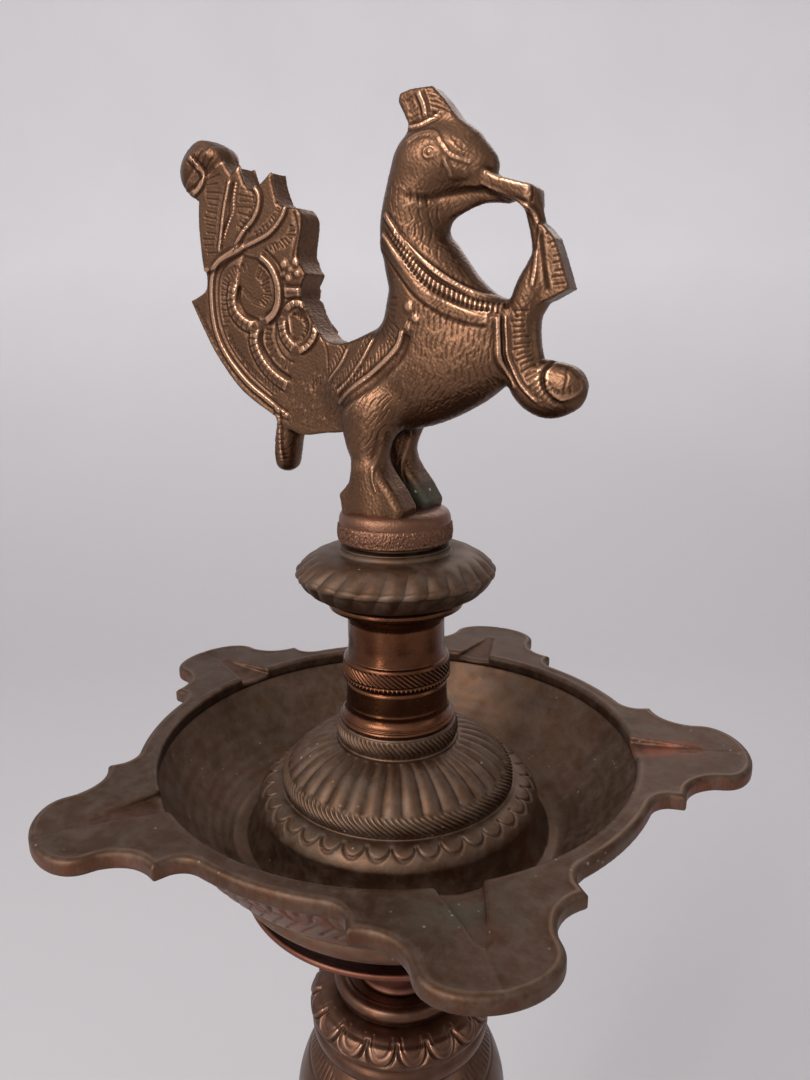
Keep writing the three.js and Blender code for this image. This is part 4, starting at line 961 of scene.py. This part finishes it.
def carve_tail(c):
    """The tail's curls, bands and strokes, each along points of x and height."""
    c.pad([(-92, 195), (-70, 214), (-62, 208), (-56, 201), (-50.6, 196.6), (-50.4, 191.9), (-53.4, 187.5),
           (-58.3, 183.8), (-62.4, 179.9), (-67, 176), (-82, 172)], 0.8, 0.7)
    c.pad([(-92, 195), (-62, 210), (-47, 206), (-40.4, 193.7), (-38.9, 190.4), (-41.6, 186.1), (-46.3, 182.2),
           (-52.1, 180.2), (-58.5, 178.2), (-66, 175), (-82, 172)], 0.8, 0.7)
    c.ridge([(-81, 211), (-78.7, 208.1), (-76.9, 205.6), (-77.1, 202.6), (-79.8, 199.8), (-82.6, 198.9)], 1.2,
            1.3)
    c.hatch([(-80, 211.5), (-76.2, 210.2), (-73.4, 206.6), (-72, 201.6), (-72.6, 195), (-74, 189),
             (-75.2, 183), (-75.4, 176)], -3.8, 4.4, 2.3, 0.5)
    c.ridge([(-63.9, 201.4), (-66.1, 195.6), (-68, 189.7), (-69.3, 184.4), (-71.2, 177.6)], 0.8, 0.9)
    c.ridge([(-60.5, 201.1), (-62.3, 195.4), (-63, 190.7), (-66.2, 186.2), (-69.5, 179.6)], 0.6, 0.5, 1.2,
            0.3)
    c.groove([(-62.2, 201), (-64.2, 195.4), (-65.6, 189.7), (-68, 184.4)], 0.6, 0.7)
    c.hatch([(-60.5, 201.1), (-61.8, 195.4), (-62.5, 190.7), (-64.5, 186.2)], 0.8, 9.5, 1.9, 0.4)
    c.ridge([(-56.2, 199.8), (-51.2, 196.4), (-51, 191.9), (-54, 187.5), (-58.9, 183.8), (-63.5, 178.6)], 0.9,
            0.8)
    c.hatch([(-51.8, 197), (-51.4, 191.9), (-54.6, 187.5), (-59.6, 183.2)], -2.8, -0.9, 1.7, 0.4)
    c.ridge([(-42.5, 199), (-40.9, 193.7), (-39.6, 190.2), (-42.2, 186.3), (-46.8, 182.8), (-52.1, 180.8),
             (-57.9, 179.2)], 0.8, 0.7)
    c.hatch([(-41.2, 194), (-40, 190.4), (-42.8, 186.1), (-47.5, 182.6), (-53.5, 180.4)], -3.6, -0.7, 1.9,
            0.6)
    c.hatch([(-47.5, 175.6), (-41.5, 176.4), (-36.5, 178.8), (-34.2, 183.5)], 0.2, 4.4, 1.9, 0.7, lean=0.5)
    c.groove([(-36, 189), (-34.6, 183), (-36.2, 177.4), (-37.6, 174)], 0.5, 0.6)
    c.groove([(-50, 177.6), (-46, 174.2), (-43.2, 171), (-41.6, 166.6)], 0.7, 0.8)
    berries = [(-41, 172, 1.5), (-38.2, 170.2, 1.3), (-36, 172.4, 1.4), (-35.6, 168.8, 1.2),
               (-39.4, 167.6, 1.3), (-42.2, 168.6, 1.1)]
    for x, z, r in berries:
        c.dot(x, z, r, 0.8)
    c.ridge([(-42, 162.8), (-37.5, 162.4), (-33.4, 162.2)], 1.9, 1.2)
    c.ridge([(-58.5, 179.6), (-65.8, 176.9), (-71.9, 174.4), (-76, 169.5), (-77.2, 160), (-76, 150),
             (-71.6, 141.2), (-62.4, 131.6), (-51.5, 124.4), (-42, 119)], 1.1, 0.8)
    c.groove([(-60, 176.6), (-67.6, 174), (-72.4, 169), (-73.7, 160), (-72.6, 151.5), (-68.6, 143.2),
              (-60, 134.2), (-49, 126.6)], 0.45, 0.6)
    c.hatch([(-73, 150), (-73.4, 160), (-72, 167.6), (-67, 172.8), (-59.5, 175.4)], -5.0, -0.6, 2.0, 0.5)
    c.hatch([(-71, 147.5), (-66.9, 141), (-60.6, 134.8), (-53.5, 129.6), (-47, 126)], 0.3, 3.2, 1.9, 0.65,
            lean=0.3)
    c.hatch([(-86.5, 158.5), (-81, 150), (-74.5, 140), (-63.5, 128.8), (-50, 120.8)], 0.0, 2.4, 1.4, 0.4)
    c.pad([(-59.9, 176.2), (-52, 174), (-47.5, 169.6), (-46, 164.5), (-47, 158.6), (-51, 154.6), (-57.4, 155),
           (-62, 158.5), (-63.6, 164), (-62.8, 170)], -0.8, 1.0)
    c.ridge([(-52.6, 175.2), (-48.4, 172.2), (-45.8, 168.6), (-44.3, 164.4), (-44.6, 159.4), (-47, 155.4),
             (-51, 153)], 1.6, 1.6)
    c.ridge([(-65.2, 166.6), (-67, 161.6), (-66, 156.6), (-62.4, 153), (-57.4, 150.8)], 2.3, 1.3, 2.5, 0.45)
    c.groove([(-63, 165.5), (-63.6, 160.6), (-60.4, 155.9), (-54, 153.2)], 0.7, 1.2)
    c.hatch([(-52.8, 172.2), (-49.4, 169.6), (-47.4, 164.6), (-47.8, 160), (-50, 156.6)], -5.2, -0.2, 1.7,
            0.75, 0.34)
    for shift in (0, 0.9, 1.8):
        c.groove([(-61.5, 165.4 - shift), (-56.8, 161.2 - shift), (-51.2, 159.4 - shift)], 0.22, 0.3)
    c.ridge([(-56.2, 150.4), (-57, 145), (-54, 138.8), (-48.5, 133.6), (-41.4, 129.8)], 2.2, 1.3, 2.4, 0.45)
    c.groove([(-52.8, 150), (-53.5, 145.4), (-50.8, 140.6), (-46.2, 136.2), (-40, 132.8)], 0.8, 1.0)
    c.hatch([(-49.6, 150.6), (-49.8, 145), (-46.4, 139.8), (-40.8, 137)], -2.4, 2.4, 1.7, 0.6)
    c.groove([(-46, 153), (-46.4, 146), (-43, 140.6), (-38, 138.4)], 0.5, 0.6)
    c.pad([(-39.4, 154.4), (-35.4, 156.6), (-31.6, 153.8), (-31.4, 149.4), (-34.6, 146), (-38.6, 147)], -0.9,
          1.0)
    c.ridge([(-41.6, 156.4), (-37, 159), (-32, 157.4), (-28.6, 153.4), (-28.9, 148), (-32.3, 144.2),
             (-36.4, 142.6)], 1.4, 1.3, 2.2, 0.3)
    c.ridge([(-43.4, 153), (-42.2, 147.4), (-38, 143.2)], 2.0, 1.4, 2.2, 0.4)
    c.hatch([(-38, 157), (-33, 155), (-30.6, 150.4), (-33.6, 146)], -3.0, -0.1, 1.6, 0.7)
    c.groove([(-28.6, 160), (-26.2, 150), (-23.6, 143), (-22.8, 136)], 0.4, 0.5)
    c.ridge([(-47, 123), (-47.4, 112), (-47, 102)], 1.4, 0.7)
    c.hatch([(-47, 121), (-47.4, 112), (-47, 103)], -4, 4, 1.9, 0.4)
    c.dashes([(-46, 118), (-30, 114.6), (-14, 117), (-12, 127), (-25, 137), (-37, 134), (-43, 127)], 52, 2.1,
             7.5, 0.9, 0.3, 0.25)


def carve_bird(c):
    """The lines of the wing, neck, head, vine, breast and legs."""
    c.ridge([(11, 149.4), (9, 144), (2, 137.6), (-8.4, 130.8), (-17.5, 125)], 1.1, 1.1)
    c.groove([(13.4, 148), (11, 141.6), (4, 134.8), (-6.6, 128), (-15, 123)], 1.5, 1.5)
    c.hatch([(11, 151), (9, 144), (2, 137.6), (-8.4, 130.8), (-17.5, 125)], -5.4, -1.0, 1.8, 0.6, lean=-0.5)
    feather = [(-2.6, 147.4), (-5.6, 140.4), (-11, 133.8), (-18, 128.6)]
    c.ridge(feather, 0.8, 0.8)
    c.hatch(feather, -4.6, -0.7, 1.8, 0.55, lean=-0.5)
    c.ridge([(-14, 144), (-17, 138), (-23, 132)], 0.7, 0.6)
    c.hatch([(-14, 144), (-17, 138), (-23, 132), (-30, 128)], -4.6, -0.6, 1.9, 0.5, lean=-0.5)
    c.hatch([(7.6, 160), (6.4, 152.5), (1.4, 147)], -3.2, 1.5, 1.9, 0.5)
    c.ridge([(2.6, 185), (8.2, 178.6), (14.8, 172.3), (21.2, 167.2), (27.4, 163), (35.3, 159.2), (43, 158)],
            1.0, 0.8)
    c.ridge([(6, 178.6), (8.4, 176.4), (13.8, 169.6), (20.2, 163.5), (28.1, 159.3), (35.9, 156.4),
             (43, 155.4)], 1.7, 0.8, 1.6, 0.8, 0.3)
    c.ridge([(0.6, 178.4), (3.4, 175.6), (9.9, 168.8), (17.2, 161.4), (24.6, 156.6), (33, 153.4),
             (40, 152.4)], 2.2, 1.0)
    c.dashes([(1, 192), (9, 194), (19, 188), (23, 180), (23, 170), (14, 175), (5, 184)], 100, 2.1, 5.4, 0.7,
             0.3, 0.14)
    c.dashes([(22, 181), (26, 176), (30, 168), (37, 161), (30, 162), (24, 167), (21, 172)], 115, 2.0, 5.0,
             0.25)
    c.ridge([(10, 204.2), (14.5, 206.6), (20.2, 206.2), (23.3, 202.8), (26.7, 199.1), (33, 196.8)], 0.9, 0.4)
    c.ridge([(25.6, 203.8), (29, 200.4), (34, 198)], 0.6, 0.25)
    eye_x, eye_z = 19.4, 200.7
    around = np.radians(np.arange(0, 361, 45))
    c.ridge([(eye_x + 1.9 * math.cos(a), eye_z + 1.6 * math.sin(a)) for a in around], 0.45, 0.35)
    c.dot(eye_x, eye_z, 0.8, 0.4)
    c.groove([(23, 200.4), (23.4, 197), (22, 193.4)], 0.5, 0.3)
    c.ridge([(24, 198.4), (25.4, 195.4), (25.4, 192.8)], 0.8, 0.4)
    c.pad([(26.2, 197.4), (30.8, 195.8), (30, 192.8), (26.4, 193.2)], 0.4)
    c.groove([(11, 189.6), (16.6, 188.4), (23, 189), (31, 189.4), (37, 188.6)], 1.1, 0.8)
    # A shallow sunk patch under the jaw, which the relief also darkens: painted shade under the head.
    c.pad([(15, 189.5), (25, 190.6), (36, 190), (38.5, 187.6), (28, 185.5), (19, 184)], -0.4, 1.4)
    c.ridge([(12.4, 219.4), (14.6, 214.9), (15.2, 211.4)], 1.0, 0.9)
    c.hatch([(13, 219.6), (15.4, 214.6), (16.4, 210.6)], 0.8, 7.5, 1.5, 0.5, lean=-0.6)
    c.hatch([(12.2, 219), (13.8, 214.4), (14, 210.6)], -5.0, -0.9, 1.6, 0.5, lean=0.4)
    c.ridge([(8.6, 209.6), (14.6, 210), (20.6, 212.4)], 0.7, 0.7)
    c.ridge([(34.2, 193.4), (42, 190.2), (50.2, 187.2)], 2.3, 0.9)
    c.ridge([(35.6, 190), (44.3, 186), (50.2, 182.6), (52.6, 178)], 0.9, 0.6)
    c.groove([(50.8, 189.6), (51.4, 187), (50.8, 184.6)], 0.6, 1.0)
    c.hatch([(56.4, 179), (58.6, 172), (60, 166), (60.6, 160)], -2.6, 2.6, 2.1, 0.6)
    c.groove([(53.8, 176), (55, 170), (56.8, 160)], 0.5, 0.8)
    c.ridge([(52.4, 172), (52.6, 166), (52, 161)], 0.9, 0.5)
    c.hatch([(54, 160), (50, 156.4), (46, 153)], -3, 3, 2.0, 0.35)
    c.ridge([(42.2, 153.2), (42.6, 146), (43.6, 139), (47.6, 131.6)], 0.8, 0.8)
    c.ridge([(44.2, 153.6), (44.6, 146.4), (45.6, 140), (49.6, 132.8), (55, 127.6)], 0.6, 0.7)
    c.hatch([(48.8, 155.5), (49, 147), (50.4, 140.5), (54, 134.6), (59, 129)], -3.4, 3.4, 1.6, 0.6)
    c.pad([(57, 137), (61, 140.6), (66, 139.6), (68.8, 135.4), (67.4, 130.6), (62.6, 128.2), (58, 130.4)],
          0.9, 0.9)
    c.groove([(58.4, 140.6), (56.4, 136), (58, 131), (62, 127.6)], 0.7, 1.3)
    c.hatch([(57, 132), (60.6, 129.4), (66, 129.8)], 0.4, 3.2, 1.7, 0.5)
    c.groove([(60, 138.4), (64, 137.4), (67, 134.6)], 0.3, 0.4)
    c.groove([(63, 138), (64, 134.6), (63.4, 131.6)], 0.3, 0.4)
    c.dashes([(15, 158), (24, 155.6), (40, 151), (41.5, 144), (30, 140), (18, 141), (12, 148)], 84, 1.9, 6.4,
             0.75, 0.3, 0.12)
    c.dashes([(30, 141), (41, 144), (41, 136), (34, 132), (26, 134)], 92, 2.1, 5.6, 0.7, 0.3, 0.12)
    for x, z, r in ((13.6, 156.4, 1.7), (16, 152.8, 1.4), (13.4, 150.2, 1.4)):
        c.dot(x, z, r, 0.7)
    c.dashes([(8, 143), (26, 134), (26, 126), (14, 124), (4, 132)], 56, 1.9, 6.6, 0.65, 0.28, 0.12)
    c.dashes([(10, 116), (28, 120), (42, 130), (42, 135), (28, 129), (12, 123)], 30, 1.7, 5.6, 0.6, 0.26,
             0.2)
    c.dashes([(-14, 126), (2, 133), (9, 126), (5, 114), (-3, 109), (-12, 114)], 54, 1.9, 8.5, 0.7, 0.26,
             0.12)
    c.dashes([(-9, 108), (0, 106), (3, 97), (-9, 97)], 96, 2.8, 4.4, 0.35, 0.24, 0.1)
    c.ridge([(4, 116), (1.4, 108), (1, 101), (2.6, 96)], 0.6, 0.4)


def bird():
    """The bird with its chased lines, and the pedestal under it."""
    clay = bird_clay()
    verts, faces = clay.skin()
    verts, faces = split(verts, faces)
    carving = Carving((-93, 86), (72.5, 223.5))
    carve_tail(carving)
    carve_bird(carving)
    x, y, z = verts.T
    normal = clay.normals(verts)
    facing = unit((np.abs(normal[:, 1]) - 0.15) / 0.45)
    rough = np.sin(x * 3.1 + 2 * np.sin(z * 1.3) + y) * np.sin(z * 2.7 + 1.4 * np.sin(x * 1.9 - y))
    d = CARVING * facing * carving.read(carving.height, x, z) + 0.05 * rough
    fine = facing * carving.read(carving.height - blurred(carving.height, 8), x, z)
    # crevice_shade is painted shade: the colour darkens where a point just off the surface comes near other
    # parts
    crevice_shade = unit(1 - clay.sample(verts + 2.6 * normal) / 2.6)
    # edge lightens the colour near thin edges through the material's crest: partly rubbed metal, partly
    # painted highlight
    edge = unit(1 + clay.sample(verts - 1.4 * normal) / 1.4)
    verts = verts + normal * d[:, None]
    relief = np.where(fine < 0, 1.7, 1.0) * fine - 0.8 * crevice_shade + 0.25 * edge * (facing > 0.02)
    patina = unit((100 - z) / 5) * unit((y - 1) / 2)
    verts[:, 2] += BIRD
    mesh_object("bird_skin", verts, faces, "bird_finial", BRONZE, ["bird_finial"], relief, None,
                patina)

    def granules(r, z, th, nr, nz):
        # Random grains of the band; the raised ones come out light through the material's crest, as painted
        # glints.
        grain = rng.uniform(-1, 1, (len(r), th.shape[1]))
        return (0.3 * grain - 0.1) * (r > 19) * (nz > -0.4) * span(z, 0.8, 6.2, 0.6)

    outline = [
        [BORE, 0], [19.8, 0], *bow([20.2, 0.3], [20.4, 0.8], 0.1, 2), *bow([20.4, 1], [20.3, 5.8], 0.2, 6),
        [19.8, 6.3], *bow([19.9, 6.6], [15.8, 11.3], 1.5, 12),
        [0.02, 11.4], [0.02, 10.4], [BORE, 10.4],
    ]
    turned("bird_pedestal_skin", outline, 540, "bird_finial", GRANULAR, (), granules, 0.5,
           SEAT["bird_finial"])


# Spout plate

def spout_outline():
    """The rim's circle with a cusped spout at each fifth."""
    points = []
    root = math.radians(23)
    start = (PLATE_OUTER * math.cos(root), PLATE_OUTER * math.sin(root))

    def curve(a, b, c, steps):
        t = np.linspace(0, 1, steps, endpoint=False)[:, None]
        a, b, c = map(np.array, (a, b, c))
        return ((1 - t) ** 2 * a + 2 * t * (1 - t) * b + t ** 2 * c).tolist()

    side = curve((TIP_START, SPOUT_HALF), (114, SPOUT_HALF), (112.5, SPOUT_HALF), 2)
    side += curve((112.5, SPOUT_HALF), (101.3, 22), (99.7, 33.4), 10)
    side += [(99.7, 33.4), (94.5, 32.8)] + curve((94.5, 32.8), (90, 33.4), start, 6) + [start]
    half_turn = np.linspace(-math.pi / 2, math.pi / 2, 28)
    tip = [(TIP_START + TIP_LENGTH * math.cos(a), SPOUT_HALF * math.sin(a)) for a in half_turn]
    lower = [(u, -v) for u, v in side[::-1]]
    open_arc = np.linspace(root, TAU / SPOUTS - root, 10)[1:-1]
    between = [(PLATE_OUTER * math.cos(a), PLATE_OUTER * math.sin(a)) for a in open_arc]
    local = np.array(lower + tip + side + between)
    for angle in SPOUT_ANGLES:
        c, s = math.cos(angle), math.sin(angle)
        points.append(np.column_stack([local[:, 0] * c - local[:, 1] * s,
                                       local[:, 0] * s + local[:, 1] * c]))
    points = np.vstack(points)
    return points[np.append(True, np.hypot(*np.diff(points, axis=0).T) > 0.05)]


def spouts():
    """The bowl's plate with its spouts and wick notches."""
    clay = Clay((-131.5, -131.5, -8), (131.5, 131.5, 2), 0.6)
    x, y, z = clay.axes[0][:, None], clay.axes[1][None, :], clay.axes[2][None, None, :]
    outline = spout_outline()
    flat = np.maximum(outline_distance(outline, x, y), PLATE_INNER - np.hypot(x, y))
    form = rounded(flat[:, :, None], np.abs(z + PLATE_HALF) - PLATE_HALF, 1.3)
    for angle in SPOUT_ANGLES:
        along = x * math.cos(angle) + y * math.sin(angle)
        across = -x * math.sin(angle) + y * math.cos(angle)
        share = unit((along - NOTCH_START) / (NOTCH_END - NOTCH_START))
        round_end = np.sqrt(unit(1 - (np.maximum(along - NOTCH_END, 0) / NOTCH_ROUND) ** 2))
        wide = (NOTCH_BROAD + (NOTCH_NARROW - NOTCH_BROAD) * share) * round_end
        cut = np.maximum(np.abs(across) - wide, NOTCH_START - 2 - along)
        rise = NOTCH_DEPTH * unit((along - NOTCH_START) / 33)
        floor = -NOTCH_DEPTH + rise + 0.02 * across ** 2
        notch = np.maximum(cut[:, :, None], floor[:, :, None] - z)
        form = -smooth_min(-form, notch, 0.8)
    clay.field = form.astype(np.float32)
    verts, faces = clay.skin()
    px, py, pz = verts.T
    normal = clay.normals(verts)
    r = np.hypot(px, py)
    theta = np.arctan2(py, px)
    pitch = TAU / SPOUTS
    sector = (theta - SPOUT_ANGLES[0] + pitch / 2) % pitch - pitch / 2
    along, across = r * np.cos(sector), r * np.sin(sector)
    board = Carving((-132, -132), (132, 132), 0.6)
    edge_field = np.maximum(outline_distance(outline, board.x, board.z), -12)
    near_edge = board.read(edge_field, px, py)
    top = unit((normal[:, 2] - 0.7) / 0.25)
    lip = 0.3 * hump(near_edge + 2.0, 1.1) + 0.2 * hump(r - 89.6, 0.9)
    dish = -0.5 * np.exp(-((along - 117) / 9) ** 2 - (across / 12) ** 2)
    notch = (np.abs(across) < 9.5) & (along < 113.5) & (pz < -0.5) & (along > 86)
    spout = np.round((theta - SPOUT_ANGLES[0]) / pitch) % SPOUTS
    redness = np.where(spout == 0, 1.0, 0.25)
    wear = redness * hump(across, 6) * unit((118 - along) / 14)
    wear = wear * unit((along - 84) / 6)
    stripes = 0.5 + 0.5 * np.sin(3.6 * px + np.sin(0.9 * py)) * np.sin(3.3 * py)
    filed = unit(1 - np.abs(normal[:, 2]) / 0.6) * (r > 92) * (near_edge > -2.5)
    filed = filed * (0.25 + 0.6 * unit(np.sin(2.5 * theta + 0.8)))
    wear = np.maximum(wear, filed * (0.35 + 0.65 * stripes))
    patina = 0.9 * (spout == 4) * top * np.exp(-((along - 98) / 9) ** 2 - ((across + 3) / 12) ** 2)
    verts = verts + normal * (top * (lip + dish) + 0.06 * filed * stripes)[:, None]
    verts[:, 2] += RIM
    # The raised lip is also lightened in colour through the material's crest: partly wear, partly painted
    # highlight.
    relief = top * (lip - 0.1) - 0.12 * notch
    mesh_object("oil_bowl_plate_skin", verts, faces, "oil_bowl", PLATE,
                (), relief, wear, patina)


bird()
spouts()


# Threaded studs

def studs():
    """Each stud with its cut thread."""
    sides, rows, radius, depth = 48, 90, 4.95, 0.9
    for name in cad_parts:
        if not name.endswith("_stud"):
            continue
        low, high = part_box(name)
        z0, z1 = low.z / MM + 0.05, high.z / MM - 0.05
        z = np.linspace(z0, z1, rows)[:, None]
        th = np.linspace(0, TAU, sides, endpoint=False)[None, :]
        phase = (z / THREAD_PITCH - th / TAU) % 1.0
        cut = depth * np.abs(2 * phase - 1)
        ends = np.minimum(np.minimum(z - z0, z1 - z), 1.0)
        r = radius - cut * unit(ends * 2) - 0.7 * (1 - unit(ends))
        verts = np.stack([r * np.cos(th), r * np.sin(th), z + 0 * th], -1).reshape(-1, 3)
        verts = np.vstack([verts, [[0, 0, z0], [0, 0, z1]]])
        faces = []
        for i in range(rows - 1):
            for j in range(sides):
                a, b = i * sides + j, i * sides + (j + 1) % sides
                faces += [(a, b, b + sides), (a, b + sides, a + sides)]
        last, centre = (rows - 1) * sides, rows * sides
        for j in range(sides):
            faces += [(centre, (j + 1) % sides, j), (centre + 1, last + j, last + (j + 1) % sides)]
        relief = np.append(-cut.ravel(), [0, 0]) * 0.6
        mesh_object(name + "_skin", verts, faces, name, THREAD, [name], relief)


studs()


# Floor, light and camera

PHOTO_TURN = math.radians(33)  # how far the photograph's frame is turned from the row frame


def turn(x, y):
    """A direction as seen in the photograph's frame, x right and y away, in the row frame."""
    c, s = math.cos(PHOTO_TURN), math.sin(PHOTO_TURN)
    return x * c - y * s, x * s + y * c


def stage():
    """A pale floor that bends up to a wall behind the lamp, 0.5 mm under the foot."""
    n = Nodes("pale_wall")
    where = n.add("ShaderNodeTexCoord").outputs["Object"]
    tone = n.mix(n.ramp(n.noise(where, 3, 3, 0.5, 0.0), 0.3, 0.7), colour("eceaed"), colour("f0eff2"))
    # Painted shade: the floor and the foot of the wall are darker, growing lighter up to 0.8 m.
    height = n.add("ShaderNodeSeparateXYZ", {"Vector": where}).outputs["Z"]
    tone = n.mix(n.ramp(height, 0.0, 0.8), colour("c6c4c6"), tone)
    n.surface("Base Color", tone)
    n.surface("Roughness", n.ramp(n.noise(where, 40, 2, 0.5, 0.0), 0.3, 0.7, 0.7, 0.85))
    flat, bend = 1.1, 1.4
    profile = [(-6.0, 0.0), (flat, 0.0)]
    for a in np.radians(np.arange(4, 91, 4)):
        profile.append((flat + bend * math.sin(a), bend - bend * math.cos(a)))
    profile.append((flat + bend, 6.0))
    verts = []
    for across in (-8, 8):
        verts += [(*turn(across, away), up - 0.0005) for away, up in profile]
    m = len(profile)
    faces = [(i, m + i, m + i + 1, i + 1) for i in range(m - 1)]
    mesh = bpy.data.meshes.new("floor")
    mesh.from_pydata(verts, [], faces)
    mesh.polygons.foreach_set("use_smooth", np.ones(len(faces), bool))
    mesh.materials.append(n.material)
    floor = placed("floor", mesh)


def light(name, spot, aim, size, energy, tint):
    """A rectangular light; spot is right, away and up, and aim is the height on the axis that it faces."""
    data = bpy.data.lights.new(name, "AREA")
    data.shape, data.size, data.size_y = "RECTANGLE", size[0], size[1]
    data.energy, data.color = energy, tint
    lamp = placed(name, data)
    lamp.location = (*turn(spot[0], spot[1]), spot[2])
    lamp.rotation_euler = (Vector((0, 0, aim)) - lamp.location).to_track_quat("-Z", "Y").to_euler()


def lights():
    """A sky that is brighter from the left, a large key light and three weak ones."""
    world = bpy.data.worlds.new("studio")
    bpy.context.scene.world = world
    world.use_nodes = True
    tree = world.node_tree
    tree.nodes["Background"].inputs["Color"].default_value = (0.82, 0.80, 0.81, 1)
    where = tree.nodes.new("ShaderNodeTexCoord")
    toward = tree.nodes.new("ShaderNodeVectorMath")
    toward.operation = "DOT_PRODUCT"
    tree.links.new(where.outputs["Generated"], toward.inputs[0])
    toward.inputs[1].default_value = Vector((*turn(-0.7, -0.45), 0.55)).normalized()
    level = tree.nodes.new("ShaderNodeMapRange")
    for key, value in (("From Min", -0.5), ("From Max", 0.9), ("To Min", 0.16), ("To Max", 1.15)):
        level.inputs[key].default_value = value
    tree.links.new(toward.outputs["Value"], level.inputs["Value"])
    tree.links.new(level.outputs["Result"], tree.nodes["Background"].inputs["Strength"])
    light("key", (-0.9, -0.9, 1.5), 0.45, (0.9, 0.7), 16, (1.0, 0.97, 0.95))
    light("fill", (1.2, -0.4, 0.9), 0.45, (0.5, 1.0), 1.4, (0.95, 0.97, 1.0))
    light("rim", (0.5, 1.2, 1.3), 0.5, (0.8, 0.6), 2.0, (1.0, 1.0, 1.0))
    light("strip", (-0.74, -0.95, 0.55), 0.55, (0.05, 0.74), 2.0, (1.0, 0.97, 0.94))


def camera():
    """The photograph's view, looking down on the rim from in front."""
    lens, distance, above_rim = 27.03, 0.2813, 0.1479
    pitch, yaw, roll = map(math.radians, (14.19, 0.71, 0.47))
    data = bpy.data.cameras.new("camera")
    data.sensor_width, data.sensor_fit, data.lens = 36.0, "AUTO", lens
    data.clip_start, data.clip_end = 0.01, 100
    fx, fy = turn(math.sin(yaw) * math.cos(pitch), math.cos(yaw) * math.cos(pitch))
    forward = Vector((fx, fy, -math.sin(pitch)))
    right = forward.cross(Vector((0, 0, 1))).normalized()
    up = right.cross(forward)
    spin = Matrix.Rotation(roll, 3, forward)
    cam = placed("camera", data)
    cam.matrix_world = Matrix((spin @ right, spin @ up, -forward)).transposed().to_4x4()
    cam.location = (*turn(0, -distance), RIM * MM + above_rim)
    bpy.context.scene.camera = cam


stage()
lights()
camera()
bpy.context.scene.view_settings.view_transform = "Standard"
